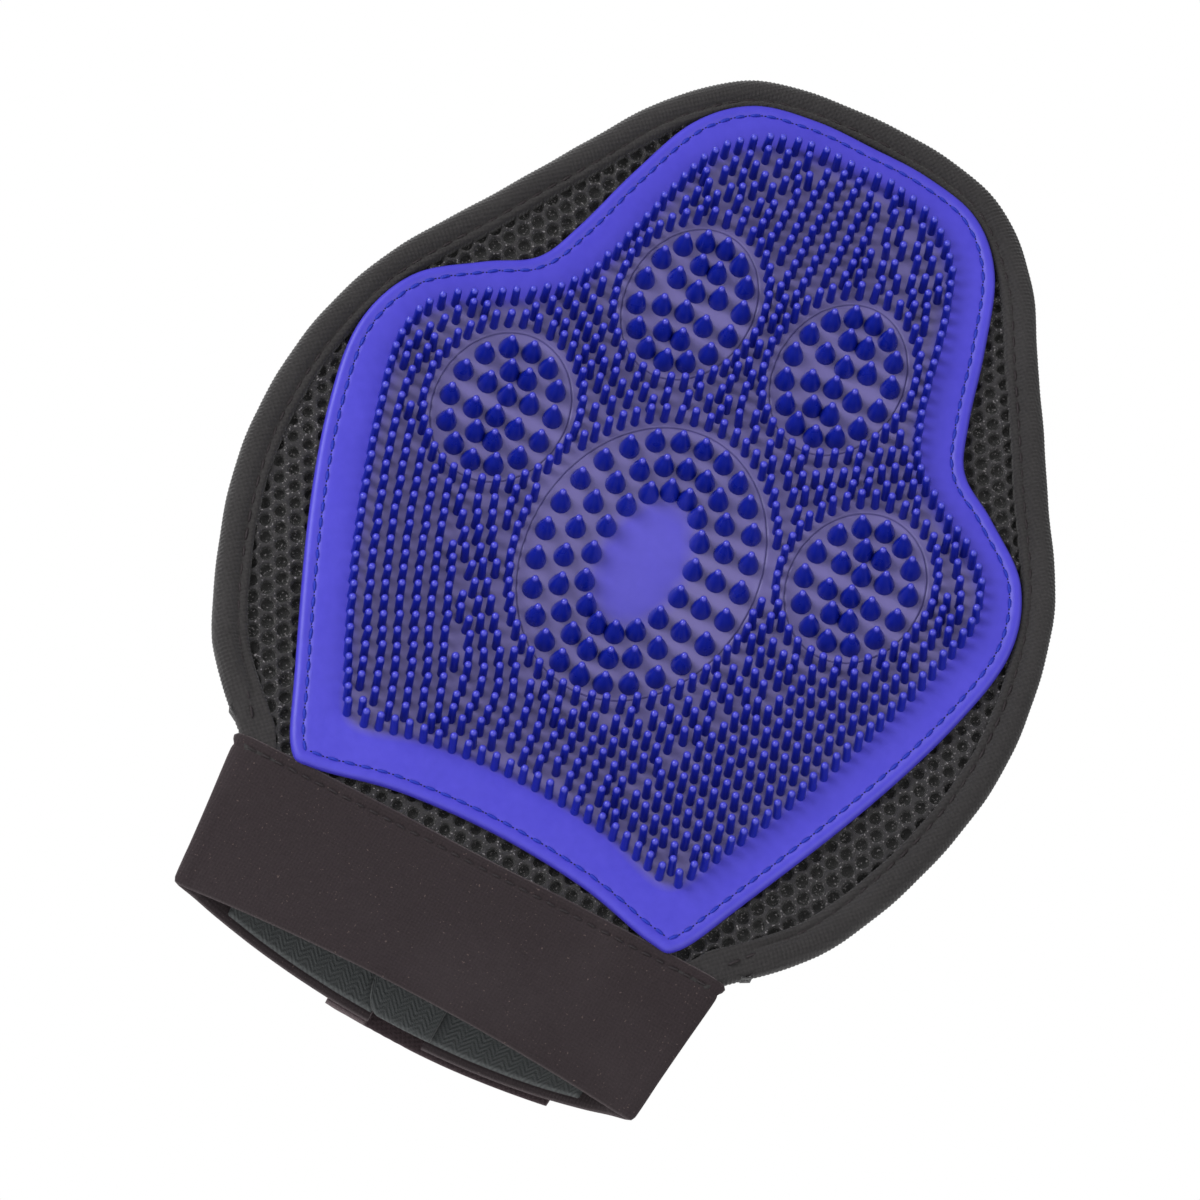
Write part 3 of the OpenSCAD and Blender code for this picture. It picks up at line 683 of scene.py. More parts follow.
# the floor: a net of triangles through all these points, inside the lip
out_v, _, out_f, orig, _, _ = delaunay_2d_cdt([Vector(p) for p in points], edges, [list(range(n))], 1, 1e-4)
flat_v = np.array([(p.x, p.y) for p in out_v])
lift, line = np.array([heights[o[0]] if o else (0.0, 0.0) for o in orig]).T
base = (len(LIP) - 1) * n
floor_y = LIP[-1][1] - lift
remap = np.empty(len(flat_v), int)
extra, shade = [], [0.0] * (len(LIP) * n)
start = len(LIP) * n
for i, o in enumerate(orig):
    edge = [k for k in o if k < n]
    if edge:
        remap[i] = base + edge[0]
    else:
        remap[i] = start + len(extra)
        extra.append((flat_v[i, 0], floor_y[i], flat_v[i, 1]))
        shade.append(line[i])
verts.append(np.array(extra))
top_faces = [[int(remap[k]) for k in f] for f in out_f]
faces += top_faces
# underside: a flat copy of the floor, joined to the outer edge
verts = np.vstack(verts)
under = len(verts)
below = verts[base:].copy()
below[:, 1] = LIP[0][1]
verts = np.vstack([verts, below])
faces += [[k - base + under for k in f[::-1]] for f in top_faces]
faces += [[k, under + k, under + (k + 1) % n, (k + 1) % n] for k in range(n)]
shade += [0.0] * len(below)
xz = verts[:, [0, 2]]
deep_in = np.where(within(xz, FIELD_RING), near(xz, FIELD_RING), -near(xz, FIELD_RING))
field = step((deep_in + 1.0) / 3.5)
cx, cz, w, h = OVALS[0]
bare = np.hypot((xz[:, 0] - cx) / (w * 0.40), (xz[:, 1] - cz) / (h * 0.50))
field *= 1 - 0.75 * step((1.15 - bare) / 0.4)
number = np.arange(len(verts))
dip = np.where((number >= start) & (number < under), 0.25 * step((deep_in + 0.8) / 3), 0)
verts[:, 1] += SEAM + dip
pad = build("paw_pad", bent(verts), faces, RUBBER, "glove", "pad_rubber",
            attrs={"field": field * 0.85, "line": shade}, closed=True)
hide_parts("brush_pad")

lines, holes = [], Parts()
seam = offset(PAD_C, 2.85, 700)
for half in (1, -1):
    lines.append((bent(upright(seam, SEAM - 4.08, half)), 3.6, 2.6, 0.34, (0, -1, 0), 0.16, holes))
stitches("pad_stitches", lines, BLUE_THREAD, "blue_thread", "pad_stitching", "glove")
# painted shade of the needle holes
holes.make("pad_needle_hole_shade", HOLE_SHADE, "glove", "blue_thread")


# ---------------------------------------------------------------- pins and studs
def roots(node):
    """Centres (x, z) of the pins of a CAD node, from its connected pieces."""
    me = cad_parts[node].data
    co = np.array([p.co for p in me.vertices]) / MM
    parent = list(range(len(co)))

    def find(i):
        while parent[i] != i:
            parent[i] = parent[parent[i]]
            i = parent[i]
        return i

    for e in me.edges:
        a, b = find(e.vertices[0]), find(e.vertices[1])
        if a != b:
            parent[a] = b
    groups = {}
    for i in range(len(co)):
        groups.setdefault(find(i), []).append(i)
    found = {}
    for g in groups.values():
        q = co[g]
        c = (q.min(axis=0) + q.max(axis=0)) / 2
        found.setdefault((round(c[0], 1), round(c[2], 1)), (c[0], c[2]))
    return np.array(sorted(found.values()))


TOUCH, SPACING = 2.45, 2.8  # least distance of two pins of the CAD, and of an added pin from the others


def settle(found):
    """Drops pins that would touch a neighbour and sets pins into the bare places of the field."""
    kept = []
    for q in found:
        if not kept or np.hypot(*(np.array(kept) - q).T).min() > TOUCH:
            kept.append(q)
    x, z = np.meshgrid(np.arange(-70, 70.1, 0.7), np.arange(49, 217, 0.7))
    spare = np.stack([x.ravel(), z.ravel()], 1)
    spare = spare[within(spare, FIELD_RING)]
    spare = spare[near(spare, FIELD_RING) > 0.8]
    for oval in OVALS:
        spare = spare[from_oval(spare, oval) > 1.5]
    spare = spare[near(spare, np.array(kept)) > SPACING]
    for q in spare:
        if np.hypot(*(np.array(kept) - q).T).min() > SPACING:
            kept.append(q)
    return np.array(kept)


def pins(name, node, profile, sides, mat, slot, tilt):
    """A turned pin at each root of a CAD node. Fine pins lean towards the fingertips, studs a third as much."""
    prof = np.array(profile, float)
    ang = np.linspace(0, 2 * np.pi, sides, endpoint=False)
    unit_v = np.stack([prof[:-1, None, 0] * np.cos(ang), prof[:-1, None, 0] * np.sin(ang),
                       np.repeat(prof[:-1, 1:2], sides, 1)], -1).reshape(-1, 3)
    unit_v = np.vstack([unit_v, [[0, 0, prof[-1, 1]]]])
    rows = len(prof) - 1
    quads = [list(f) for f in grid(rows, sides, closed=True)]
    last = rows * sides
    quads += [[(rows - 1) * sides + k, (rows - 1) * sides + (k + 1) % sides, last] for k in range(sides)]
    # painted highlight at the tip
    tip_highlight = step((unit_v[:, 2] / prof[-1, 1] - 0.84) / 0.16)
    parts = Parts()
    floor = SEAM - MESH_T - PAD_T + 0.1
    for x, z in settle(roots(node)) if node == "fine_pins" else roots(node):
        gx = cup(x + 0.5, z) - cup(x - 0.5, z)
        gz = cup(x, z + 0.5) - cup(x, z - 0.5)
        lean = (0.32 - 0.10 * step((z - 60) / 140)) * (1 if sides < 12 else 0.3)
        normal = np.array([float(gx), -1.0, float(gz)])
        normal += [rng.normal(0, tilt) - 0.35 * lean, 0, rng.normal(0, tilt) + lean]
        normal /= np.linalg.norm(normal)
        side = np.cross(normal, [0, 0, 1.0])
        side /= np.linalg.norm(side)
        third = np.cross(side, normal)
        size = 1 + rng.normal(0, 0.015)
        q = unit_v * [1, 1, size]
        v = q[:, :1] * side + q[:, 1:2] * -third + q[:, 2:3] * normal
        v = v + [x, floor + float(cup(x, z)), z]
        parts.add(v, quads, tip_highlight)
    o = parts.make(name, mat, "glove", slot, key="tip")
    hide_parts(node)
    return o


# profiles: radius, height over the pad's floor
FINE = [(1.05, -0.7), (1.0, 0.1), (0.94, 0.7), (0.92, 2.2), (0.90, 3.6), (0.88, 4.4), (0.74, 4.85), (0.43, 5.15),
        (0, 5.25)]
BIG = [(2.4, -0.6), (2.3, 0.15), (2.16, 0.8), (1.88, 1.9), (1.46, 3.1), (1.05, 4.1), (0.84, 4.8), (0.72, 5.4),
       (0.42, 5.8), (0, 5.9)]
pins("brush_pins", "fine_pins", FINE, 10, PIN, "pin_rubber", 0.03)
pins("toe_cones", "toe_studs", BIG, 16, STUD, "stud_rubber", 0.02)
pins("palm_cones", "palm_studs", BIG, 16, STUD, "stud_rubber", 0.02)


# ---------------------------------------------------------------- velour patch
SLIT_R = 11.4  # half width of the slit in the velour


def velour_half(count_r=350, count_c=180):
    """Points of the right half: rows follow the side, columns run from the slit or middle to the side."""
    curve = offset(VELOUR_C, 1.0, 900)
    low = int(np.argmin(curve[:350, 1]))
    foot, side = curve[:low + 1], curve[low:]
    side = resample(side, count_r)
    corner_x, foot_z, top_z = foot[-1, 0], side[0, 1], side[-1, 1]
    u = np.linspace(0, 1, count_c)
    p = np.empty((count_r, count_c, 2))
    for i, (sx, sz) in enumerate(side):
        t = (sz - foot_z) / (top_z - foot_z)
        inner_x = 0.0
        z_mid = sz + (foot[0, 1] - foot_z) * (1 - t)
        if z_mid < SLIT_TOP + SLIT_R:
            inner_x = SLIT_R if z_mid < SLIT_TOP else math.sqrt(max(0, SLIT_R**2 - (z_mid - SLIT_TOP) ** 2))
        x = inner_x + (sx - inner_x) * u
        sag = np.interp(x * corner_x / max(sx, 1e-6), foot[:, 0], foot[:, 1]) - foot_z
        p[i, :, 0] = x
        p[i, :, 1] = sz + sag * (1 - t)
    return p


def folds(x, z):
    """Height of the soft slanting folds of the velour."""
    a = math.radians(68)
    across = x * math.cos(a) + z * math.sin(a)
    along = -x * math.sin(a) + z * math.cos(a)
    f = 1.5 * np.sin(across / 7.4 + 0.6 * np.sin(along / 24)) * (0.6 + 0.4 * np.sin(along / 29 + 0.6))
    return f + 0.9 * np.sin(across / 12.5 + 1.2 + along / 50) + 0.35 * np.sin(across / 3.6 + along / 17)


SATIN_EDGE = [(-0.2, 1.8), (-0.1, 2.6), (0.3, 3.15), (0.9, 3.5), (1.5, 3.55), (2.1, 3.35), (2.6, 2.9), (2.8, 2.2)]
half_p = velour_half()
# the quilting line, left out round the slit
QUILT = offset(VELOUR_C, 12.0, 900)
QUILT = QUILT[(QUILT[:, 1] > 70) | (QUILT[:, 0] > 16)]
for half in (1, -1):
    p = half_p.reshape(-1, 2) * [half, 1]
    x, z = p[:, 0], p[:, 1]
    edge = near(p, VELOUR_RING[::3])
    arch = np.where(z < SLIT_TOP, np.abs(x) - SLIT_OUT, np.hypot(x, z - SLIT_TOP) - SLIT_OUT)
    rim = np.clip(np.minimum(edge, np.maximum(arch, 0) * 1.3), 0, 60)
    puff = 1.0 + 0.75 * step(rim / 7)
    quilt = near(p * [half, 1], QUILT[::2])
    puff -= 0.75 * np.exp(-((quilt / 1.5) ** 2))
    puff += (1.5 + 1.1 * folds(x, z)) * step((rim - 3) / 22)
    row = np.floor(z / 0.95)
    knit = np.cos((x + 0.95 * (row % 2)) * 2 * math.pi / 1.9) * np.sin((z / 0.95 - row) * math.pi)
    loops = 0.16 * knit + 0.05 * np.sin(x * 2.7 + 2 * np.sin(z * 1.1)) * np.sin(z * 2.3 + np.sin(x * 1.7))
    loops += rng.normal(0, 0.03, len(x)) * (np.abs(x) > 1e-3)
    # painted shade: darker between the knit loops and in the valleys of the folds
    low = np.clip(0.5 - 0.5 * knit, 0, 1) ** 1.5 * 0.55 + 0.42 * step(-folds(x, z) / 2.6)
    y = SEAM + dome(x, z) + MESH_T + puff + loops * step(rim / 1.5)
    v = bent(np.stack([x, y, z], 1))
    o = build(side_name("velour_pile", half), v,
              grid(half_p.shape[0], half_p.shape[1], flip=half > 0), VELVET, attrs={"painted_valley_shade": np.clip(low, 0, 1)})
    spread(o)
    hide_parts("velour_patch")

    # satin stitched edge, with painted shade in the grooves of its twill
    path = resample(VELOUR_C, 1800)
    v, amount = sweep(path, inward(path), SATIN_EDGE, twill=(0.82, 0.13, 0.5), closed=False,
                      puff=lambda s, r: 0.03 * np.sin(s / 3.1) * np.sin(s / 1.3))
    v = v.reshape(-1, 3) * [half, 1, 1]
    v[:, 1] += SEAM + dome(v[:, 0], v[:, 2])
    o = build(side_name("satin_edge", half), bent(v), grid(len(path), len(SATIN_EDGE), flip=half < 0), SATIN,
              attrs={"painted_valley_shade": np.clip(0.45 - amount.ravel() * 3.5, 0, 1)})
    spread(o)
    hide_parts("velour_edging")

    # quilting line
    xq, zq = QUILT[:, 0] * half, QUILT[:, 1]
    level = dome(xq, zq) + MESH_T + 1.0 + (1.5 + 1.1 * folds(xq, zq)) * step(9 / 22)
    p = np.stack([xq, SEAM + level + 0.1, zq], 1)
    spread(stitches(side_name("quilting", half), [(bent(p), 3.4, 2.5, 0.3, (0, 1, 0), 0.3)], VELOUR_THREAD,
                    "blue_thread", "velour_stitching"))


# ---------------------------------------------------------------- slit binding
def arch_path(r, count):
    """Right half of the slit's outline at half width r."""
    low = np.stack([np.full(30, r), np.linspace(33.8, SLIT_TOP, 30)], 1)
    t = np.linspace(0, math.pi / 2, 30)[1:]
    top = np.stack([r * np.cos(t), SLIT_TOP + r * np.sin(t)], 1)
    return resample(np.vstack([low, top]), count)


SLIT_LIP = [(8.2, -1.4), (8.0, 0.6), (7.6, 2.6), (6.9, 4.1), (5.6, 5.2), (4.0, 5.6), (2.9, 5.3), (2.35, 4.85),
            (2.0, 4.75), (1.6, 4.95), (1.0, 4.9), (0.35, 4.2), (-0.1, 3.1), (-0.2, 2.0)]


def slack(s, r):
    """Uneven fullness of a slit lip, at run s along it and r round it."""
    return (0.32 * np.sin(s / 6.3 + half) * np.sin(r / 3) + 0.16 * np.sin(s / 2.6 + r / 2)) * step((s - 2) / 6)


for half in (1, -1):
    path = arch_path(SLIT_OUT, 420)
    s = np.linspace(0, length(path), len(path))
    v, amount = sweep(path, inward(path), SLIT_LIP, twill=(0.8, 0.045, 0.9), closed=False, puff=slack)
    # the lips close up towards the top of the slit and flare at the wrist
    close = step((s - 14) / 34)[:, None]
    inner_part = np.clip((np.array(SLIT_LIP)[:, 0] - 2.5) / 5.5, 0, 1)[None, :]
    shift = 3.4 * close * inner_part - 1.6 * (1 - step(s / 12))[:, None] * inner_part
    nrm = inward(path)
    v[..., 0] += nrm[:, None, 0] * shift
    v[..., 2] += nrm[:, None, 1] * shift
    v[..., 0] = np.maximum(v[..., 0], 0.0)
    v = v.reshape(-1, 3) * [half, 1, 1]
    v[:, 1] += SEAM + dome(v[:, 0], v[:, 2])
    o = build(side_name("slit_lip", half), bent(v), grid(len(path), len(SLIT_LIP), flip=half < 0), BINDING)
    spread(o)
    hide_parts("slit_binding")
    q = arch_path(SLIT_OUT - 2.1, 300)
    q = q[q[:, 1] > 37.5]
    p = upright(q, SEAM + dome(q[:, 0], q[:, 1]) + 4.8, half)
    spread(stitches(side_name("slit_stitches", half), [(bent(p), 3.4, 2.4, 0.3, (0, 1, 0), 0.12)], DARK_THREAD,
                    "dark_thread", "slit_stitching"))


# ---------------------------------------------------------------- cuff
def arc_y(x, r):
    """The cuff's back at x, on a radius r."""
    return ARC_Y + np.sqrt(np.maximum(r * r - np.asarray(x, float) ** 2, 0))


def back_point(a, z, r):
    """Point on the cuff's back at run a from the middle, height z and radius r."""
    a, z = np.asarray(a, float), np.asarray(z, float)
    return np.stack([r * np.sin(a / ARC_R), ARC_Y + r * np.cos(a / ARC_R), z], -1)


# outer and inner face of half a cuff, from the middle of the front round to the gap at the back
OUT_X = [7.3, 13, 20, 30, 40, 50, 56]
outer_path = [(0, -14.5), (15, -14.5), (30, -14.5), (45, -14.5), (54, -14.45), (58.8, -14.25), (61.4, -12.9),
              (60.0, -11.2)] + [(x, float(arc_y(x, ARC_R))) for x in OUT_X[::-1]]
inner_path = [(0, -12), (15, -12), (30, -12), (44.5, -12), (52, -12.02), (55.6, -12.15), (57.9, -12.4),
              (56.9, -12.05)] + [(x * 0.973, float(arc_y(x * 0.973, ARC_R - 2.4))) for x in OUT_X[::-1]]
outer_path, inner_path = smooth(outer_path, 16), smooth(inner_path, 16)
inner_path[-1, 0] = outer_path[-1, 0]
# cross-section: (depth from the outer face 0..1, height, outward lift)
SECTION = [(1.0, 1.2, 0), (0.75, 0.35, 0), (0.4, 0.0, 0.05), (0.1, 0.4, 0.1), (0.0, 1.3, 0.15), (0, 3, 0.2),
           (0, 6, 0.2)]
SECTION += [(0, h, 0.15) for h in range(9, 31, 3)]
SECTION += [(0, 32.2, 0.1), (0, 33.0, -0.02), (0, 33.5, -0.22), (0, 34.0, 0.05), (0, 34.5, 0.4), (0, 35.3, 0.55),
            (0.1, 35.9, 0.4), (0.5, 36.2, 0.2), (0.9, 35.8, 0), (1.0, 34.6, 0)]
SECTION += [(1.0, h, 0) for h in range(31, 2, -4)]
for half in (1, -1):
    d = inward(outer_path)
    rows = []
    s = np.linspace(0, length(outer_path), len(outer_path))
    front = 1 - step((s - 50) / 16)
    for depth, h, lift in SECTION:
        top = h * (1 - 0.3 / 36 * (1 - front))
        proud = lift + 0.12 * step(s / 14) * np.sin(s / 17 + h / 9)
        xy = outer_path + (inner_path - outer_path) * depth - d * proud[:, None] * (1 - depth)
        xy[:, 0] = np.where(s < 1e-6, 0, xy[:, 0])
        wobble = 0.35 * step(s / 14) * np.sin(s / 21 + 1.3) * (h / 36) * (1 - depth * 0.5)
        rows.append(np.stack([xy[:, 0] * half, xy[:, 1], top + wobble * (1 if h > 20 else 0)], 1))
    v = np.stack(rows, 1)
    cols = len(SECTION)
    faces = [list(f) for f in grid(len(s), cols, closed=True, flip=half > 0)]
    far, close = [(len(s) - 1) * cols + k for k in range(cols)], list(range(cols))
    faces += [far, close[::-1]] if half > 0 else [far[::-1], close]
    wing = "loop_wing" if half > 0 else "tab_wing"
    o = build(side_name("cuff_band", half), v.reshape(-1, 3), faces, CUFF, closed=True)
    # sharp edges round the two caps keep the halves shaded as one cloth where they meet
    ends = {key for f in o.data.polygons if len(f.vertices) > 4 for key in f.edge_keys}
    for e in o.data.edges:
        e.use_edge_sharp = tuple(sorted(e.vertices)) in ends
    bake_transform(o)
    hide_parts("cuff_front", wing)

# hem threads of the cuff
x = np.linspace(-58.5, 58.5, 200)
p = np.stack([x, np.full_like(x, -14.36), np.full_like(x, 33.5)], 1)
stitches("cuff_hem_stitches", [(p, 3.4, 2.5, 0.3, (0, -1, 0), 0.1)], DARK_THREAD, "dark_thread", "cuff_stitching",
         "glove")
for half, wing, x0, x1 in ((1, "loop_wing", 52, 57.5), (-1, "tab_wing", 19, 57.5)):
    x = np.linspace(x0, x1, 60)
    y = arc_y(x, ARC_R)
    p = np.stack([x * half, y - 0.02, np.full_like(x, 33.3)], 1)
    up = np.stack([x * half / ARC_R, (y - ARC_Y) / ARC_R, 0 * x], 1)
    stitches(wing + "_hem_stitches", [(p, 3.4, 2.4, 0.28, up, 0.08)], DARK_THREAD, "dark_thread",
             wing + "_stitching", wing)


def cloth(x0, x1, z0, z1, cols, rows):
    """Grid over a rectangle of cloth: run a, height z, and distance from the nearest edge."""
    a, z = np.meshgrid(np.linspace(x0, x1, cols), np.linspace(z0, z1, rows), indexing="ij")
    return a, z, np.minimum(np.minimum(z - z0, z1 - z), np.minimum(a - x0, x1 - a))


def herringbone(a, z):
    """Height of a woven herringbone: slanting ribs that turn in every column."""
    column = np.floor(a / 2.3)
    turn = np.where(column % 2 == 0, 1.0, -1.0)
    return np.sin(2 * np.pi * (z + turn * (a - column * 2.3) * 0.9) / 1.25)


def lining(name, x0, x1, place, body, node):
    """Woven lining: place(a, z, h) gives the point at run a, height z and h over the face."""
    nx, nz = int(abs(x1 - x0) / 0.34), 96
    a, z, edge = cloth(x0, x1, LINING_LOW, LINING_TOP, nx, nz)
    w = herringbone(a, z)
    h = 0.75 * np.sqrt(np.clip(edge / 0.6, 0, 1)) + 0.11 * w * np.clip(edge / 0.6, 0, 1)
    v = place(a.ravel(), z.ravel(), h.ravel())
    # painted shade: darker in the low parts of the herringbone
    o = build(name, v, grid(nx, nz), LINING, body, "inner_lining",
              attrs={"painted_valley_shade": np.clip(0.3 - 0.5 * w, 0, 1).ravel() * 0.8})
    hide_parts(node)
    return o


lining("cuff_lining_front", -51.0, 51.0, lambda a, z, h: np.stack([a, -12.0 + h, z], 1), "glove", "cuff_lining")


def on_back(sign):
    """The place for linings of the wing on one side, over its inner face."""
    return lambda a, z, h: back_point(a, z, ARC_R - 2.35 - h) * [sign, 1, 1]


o = lining("cuff_lining_right", 7.6, 51.5, on_back(1), "loop_wing", "loop_wing_lining")
o.data.flip_normals()
lining("cuff_lining_left", 7.6, 51.5, on_back(-1), "tab_wing", "tab_wing_lining")


def slab_mesh(top, bottom, rows, cols):
    """Points and faces of closed cloth from two grids of points, rows by cols."""
    v = np.vstack([top.reshape(-1, 3), bottom.reshape(-1, 3)])
    m = rows * cols
    faces = [list(f) for f in grid(rows, cols)] + [list(f) for f in grid(rows, cols, start=m, flip=True)]
    loop = [j for j in range(cols)] + [i * cols + cols - 1 for i in range(1, rows)]
    loop += [(rows - 1) * cols + j for j in range(cols - 2, -1, -1)] + [i * cols for i in range(rows - 2, 0, -1)]
    for a, b in zip(loop, loop[1:] + loop[:1]):
        faces.append([b, a, a + m, b + m])
    return v, faces


def slab(name, top, bottom, shape, mat, body, slot, attrs=None):
    return build(name, *slab_mesh(top, bottom, *shape), mat, body, slot, attrs=attrs, closed=True)


# underlap: the loop wing runs on inside, behind the gap
a, z = np.meshgrid(np.linspace(-11.0, 9.0, 60), np.linspace(1.2, LINING_TOP, 96), indexing="ij")
turned = 1 - np.sqrt(np.clip(1 - np.clip(1 - (a + 11.0) / 5.5, 0, 1) ** 2, 0, 1))
zz = 18 + (z - 18) * (1 - 0.5 * turned)
w = herringbone(a, zz)
edge = np.minimum(a + 11.0, np.minimum(z - 1.2, LINING_TOP - z))
h = 0.45 * np.sqrt(np.clip(edge / 0.8, 0, 1))
place = on_back(1)
top = place(a.ravel(), zz.ravel(), (h + 1.7 + 0.10 * w).ravel())
bottom = place(a.ravel(), zz.ravel(), (-h + 1.6).ravel())
# painted shade in the low parts of the herringbone
weave_shade = np.clip(0.3 - 0.5 * w, 0, 1).ravel() * 0.8
o = slab("cuff_underlap", bottom, top, (60, 96), LINING, "loop_wing", "inner_lining",
         attrs={"painted_valley_shade": np.concatenate([weave_shade, weave_shade])})


# ---------------------------------------------------------------- closure
def rounded(edge, reach, height):
    """A quarter round: 0 at a cloth's edge, height from reach inwards."""
    return height * np.sqrt(np.clip(1 - (1 - np.clip(edge / reach, 0, 1)) ** 2, 0, 1))


BOX_A, BOX_Z = (9.5, 36), (4.8, 31.2)  # box of stitches: from and to, along and across the tab
a, z, edge = cloth(-18.2, 40.4, 0.1, WING_TOP - 0.1, 170, 110)
outer_r = TAB_OUT - 1.3 + rounded(edge, 1.3, 1.35)
outer_r += 0.30 * np.exp(-(((a + 15.2) / 1.6) ** 2)) + 0.16 * np.sin(a / 6.5 + z / 9) + 0.1 * np.sin(z / 4.1)
# the box of stitches sinks in, and the cloth puffs up within and around it
box = np.minimum(np.abs(a - BOX_A[0]), np.abs(a - BOX_A[1])) + 99 * (np.abs(z - 18) > 13.4)
box = np.minimum(box, np.minimum(np.abs(z - BOX_Z[0]), np.abs(z - BOX_Z[1])) + 99 * (np.abs(a - 22.75) > 13.4))
inside_box = (np.abs(a - 22.75) < 13.2) & (np.abs(z - 18) < 13.2)
outer_r += -0.38 * np.exp(-((box / 0.75) ** 2))
outer_r += np.where(inside_box, 0.25 * step((box - 0.6) / 5), 0.18 * step((box - 0.6) / 2))
# the fold at its root, darkened there with painted shade, then the weave
band = step((a + 7.5) / 1.6) * (1 - step((a - 2.5) / 2.0))
outer_r += -0.22 * band + 0.09 * band * np.sin(2 * np.pi * (z + 0.4 * a) / 1.05)
weave = 0.045 * np.sin(2 * np.pi * (a + z * 0.55) / 0.95) * np.sin(2 * np.pi * (z - a * 0.55) / 0.95)
outer_r += weave * np.clip(edge, 0, 1)
root_in = step((-a - 7.2) / 1.5)
inner_r = TAB_R + 0.1 + (ARC_R + 0.15 - TAB_R) * root_in + 0.35 - rounded(edge, 0.9, 0.35)
top, bottom = back_point(a, z, outer_r), back_point(a, z, inner_r)
# painted shade along the fold
fold_shade = np.concatenate([(band * 0.85).ravel(), np.zeros(a.size)])
tab = slab("closure_strap", top, bottom, a.shape, TAB, None, None, attrs={"fold": fold_shade})
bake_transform(tab)
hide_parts("closure_tab", "tab_root")

lines = []
corners = [(BOX_A[i], BOX_Z[k]) for i, k in ((0, 0), (1, 0), (1, 1), (0, 1), (0, 0))]
for (a0, z0), (a1, z1) in zip(corners, corners[1:]):
    aa, zz = np.linspace(a0, a1, 40), np.linspace(z0, z1, 40)
    p = back_point(aa, zz, TAB_OUT - 0.12)
    up = np.stack([np.sin(aa / ARC_R), np.cos(aa / ARC_R), 0 * aa], 1)
    lines.append((p, 3.1, 2.2, 0.3, up, 0.14))
stitches("strap_stitches", lines, DARK_THREAD, "dark_thread", "tab_stitching", "closure_tab")

# hook patch: thin plate with rows of small hooks, on the strap's inner face
a, z, edge = cloth(10, 39, 2, 33.7, 60, 60)
parts = Parts()
parts.add(*slab_mesh(back_point(a, z, TAB_R + 0.12), back_point(a, z, TAB_R - rounded(edge, 0.4, 0.45)), 60, 60))
for aa in np.linspace(11, 38, 20):
    for k, zz in enumerate(np.linspace(3.2, 32.5, 22)):
        lean = 0.25 if k % 2 else -0.25
        p0, p1 = back_point(aa, zz, TAB_R - 0.4), back_point(aa + lean, zz + 0.1, TAB_R - 1.05)
        parts.add(*capsule(p0, p1, 0.16, (0, 0, 1.0), sides=5, rings=4))
o = parts.make("hook_strip", HOOKS, "closure_tab", "hook_plastic")
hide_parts("hook_patch")

# loop patch: matted pile with woven selvages
a, z, edge = cloth(9, 51.5, 1.9, 33.9, 150, 110)
covered = 1 - step((a - 36) / 5)  # pressed flat under the tab
pile_h = 0.55 + 0.95 * step((edge - 2.2) / 1.0)
lump = 0.22 * np.sin(a * 3.1 + 2 * np.sin(z * 1.7)) * np.sin(z * 2.9 + np.sin(a * 1.3)) + rng.normal(0, 0.07, a.shape)
height = rounded(edge, 0.5, 1.0) * (pile_h - 0.35 * covered * (pile_h > 1))
height = height + lump * step((edge - 2.4) / 1.0) * (1 - 0.6 * covered)
top = back_point(a, z, ARC_R + 0.05 + np.clip(height, 0.05, 1.75 - 0.35 * covered))
bottom = back_point(a, z, np.full(a.shape, ARC_R - 0.05))
o = slab("loop_pad", top, bottom, a.shape, PILE, "loop_wing", "loop_pile")
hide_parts("loop_patch")
parts = Parts()
for zc in (3.0, 32.8):
    aa, zz = np.meshgrid(np.linspace(9.2, 51.3, 300), np.linspace(zc - 1.1, zc + 1.1, 8), indexing="ij")
    rib = 0.12 * np.sin(aa * 2 * np.pi / 0.7) * np.sin((zz - zc) * 2.2)
    rr = ARC_R + 0.62 + rib + 0.1 * np.cos((zz - zc) / 1.1 * 1.5)
    parts.add(back_point(aa, zz, rr).reshape(-1, 3), grid(300, 8))
parts.make("loop_pad_selvages", SELVAGE, "loop_wing", "loop_pile", closed=False)
FIBRES = 2600
parts = Parts()
for _ in range(FIBRES):
    aa = rng.uniform(34, 50.3)
    zz = rng.uniform(4.6, 31.2)
    t = rng.uniform(0, 2 * math.pi)
    da, dz = 0.55 * math.cos(t), 0.55 * math.sin(t)
    p0, p1 = back_point(aa - da, zz - dz, ARC_R + 1.25), back_point(aa + da, zz + dz, ARC_R + 1.25)
    up = np.array([math.sin(aa / ARC_R), math.cos(aa / ARC_R), 0])
    parts.add(*capsule(p0, p1, 0.07, up, sag=rng.uniform(0.35, 0.8), sides=4, rings=5))
parts.make("loop_pad_fibres", FIBRE, "loop_wing", "loop_pile")
p = back_point(np.full(40, 49.8), np.linspace(5, 31, 40), ARC_R + 1.1)
stitches("loop_pad_stitches", [(p, 3.2, 2.3, 0.28, (math.sin(0.56), math.cos(0.56), 0), 0.3)], DARK_THREAD,
         "dark_thread", "loop_patch_stitching", "loop_wing")


# ---------------------------------------------------------------- hand space lining
xx, zz = np.meshgrid(np.linspace(-1, 1, 70), np.linspace(34.5, 222, 120), indexing="ij")
half_w = np.interp(zz, INNER_C[:, 1], INNER_C[:, 0]) - 1.0
x = xx * half_w
y = SEAM + 0.55 + 0.25 * np.sin(x / 6 + zz / 11) * np.sin(zz / 8) + 0.1 * np.sin(x * 1.9) * np.sin(zz * 1.7)
v = bent(np.stack([x, y, zz], -1).reshape(-1, 3))
o = build("hand_lining", v, grid(70, 120), INSIDE, "glove", "inner_lining")
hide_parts("palm_lining")

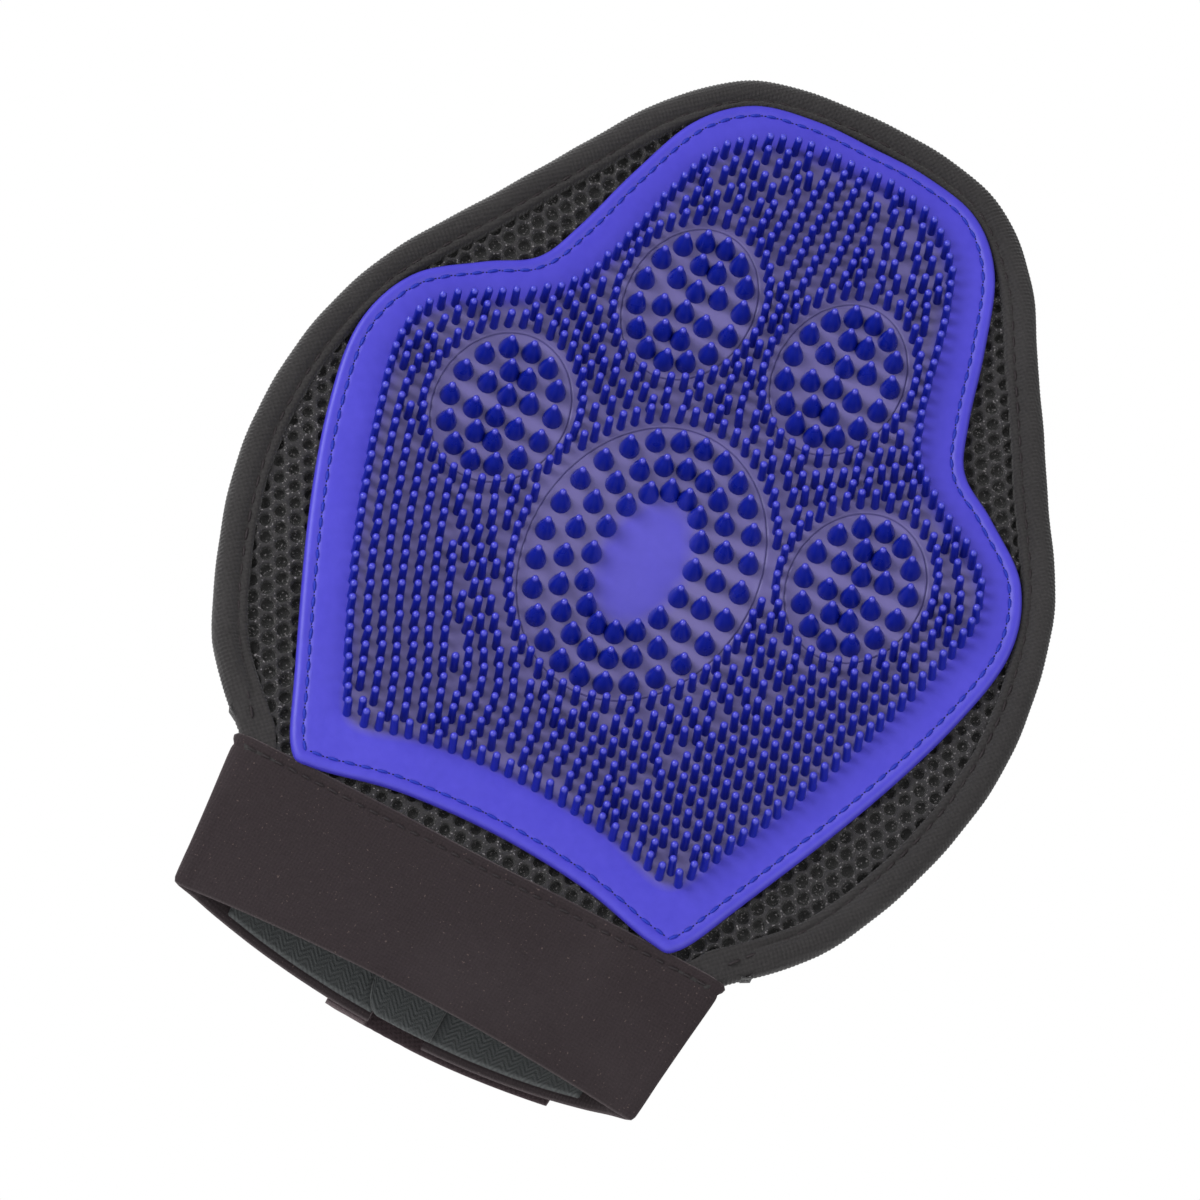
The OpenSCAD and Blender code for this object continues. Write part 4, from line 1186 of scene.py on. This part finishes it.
# ---------------------------------------------------------------- stage, light and camera
scene = bpy.context.scene
scene.view_settings.view_transform = "Standard"
white = bpy.data.worlds.new("studio")
scene.world = white
white.use_nodes = True
white.node_tree.nodes["Background"].inputs["Color"].default_value = (1, 1, 1, 1)
wn, wl = white.node_tree.nodes, white.node_tree.links
# the sky lights the glove at half strength, and is plain white behind it
seen = wn.new("ShaderNodeLightPath")
level = wn.new("ShaderNodeMapRange")
level.inputs["To Min"].default_value = 0.5
level.inputs["To Max"].default_value = 1.0
wl.new(seen.outputs["Is Camera Ray"], level.inputs["Value"])
wl.new(level.outputs["Result"], wn["Background"].inputs["Strength"])

FLOOR_Z = -0.62  # far under the glove, which the photo shows on plain white
floor_mat = bpy.data.materials.new("floor_paint")
floor_mat.use_nodes = True
bs = floor_mat.node_tree.nodes["Principled BSDF"]
bs.inputs["Base Color"].default_value = (0.82, 0.82, 0.82, 1)
bs.inputs["Roughness"].default_value = 0.9
bs.inputs["Emission Color"].default_value = (1, 1, 1, 1)
bs.inputs["Emission Strength"].default_value = 0.55
me = bpy.data.meshes.new("floor")
me.from_pydata([(x, y, FLOOR_Z) for x, y in ((-9, -9), (9, -9), (9, 9), (-9, 9))], [], [(0, 1, 2, 3)])
me.materials.append(floor_mat)
floor = bpy.data.objects.new("floor", me)
scene.collection.objects.link(floor)

# the camera's azimuth, elevation, roll and distance
AZ, EL, ROLL_A, DIST = math.radians(5), math.radians(-21), math.radians(29), 1.1
back = Vector((math.sin(AZ) * math.cos(EL), -math.cos(AZ) * math.cos(EL), math.sin(EL)))
right0 = (-back).cross(Vector((0, 0, 1))).normalized()
up0 = right0.cross(-back).normalized()
up = up0 * math.cos(ROLL_A) - right0 * math.sin(ROLL_A)
right = right0 * math.cos(ROLL_A) + up0 * math.sin(ROLL_A)


def lamp(name, direction, size, power, color=(1, 1, 1), dist=1.1):
    """Area lamp in the camera's own directions: (right, up, back)."""
    data = bpy.data.lights.new(name, "AREA")
    data.energy, data.size, data.color = power, size, color
    o = bpy.data.objects.new(name, data)
    way = (right * direction[0] + up * direction[1] + back * direction[2]).normalized()
    o.location = Vector((0, 0, 0.118)) + way * dist
    o.rotation_mode = "QUATERNION"
    o.rotation_quaternion = way.to_track_quat("Z", "Y")
    scene.collection.objects.link(o)


lamp("key", (-0.75, 0.9, 0.75), 0.6, 11)
lamp("fill", (0.9, 0.1, 0.9), 0.9, 4.5)
lamp("back_key", (-0.5, 0.9, -0.9), 0.7, 10)

aim = Vector((0, 0, 0.1135)) - right * 0.0085 - up * 0.004
cam_data = bpy.data.cameras.new("camera")
cam = bpy.data.objects.new("camera", cam_data)
scene.collection.objects.link(cam)
cam_data.sensor_width = 36
cam_data.lens = 150
cam_data.dof.use_dof = False
cam_data.clip_start, cam_data.clip_end = 0.05, 20
m = Matrix((right, up, back)).transposed().to_4x4()
m.translation = aim + back * DIST
cam.matrix_world = m
scene.camera = cam
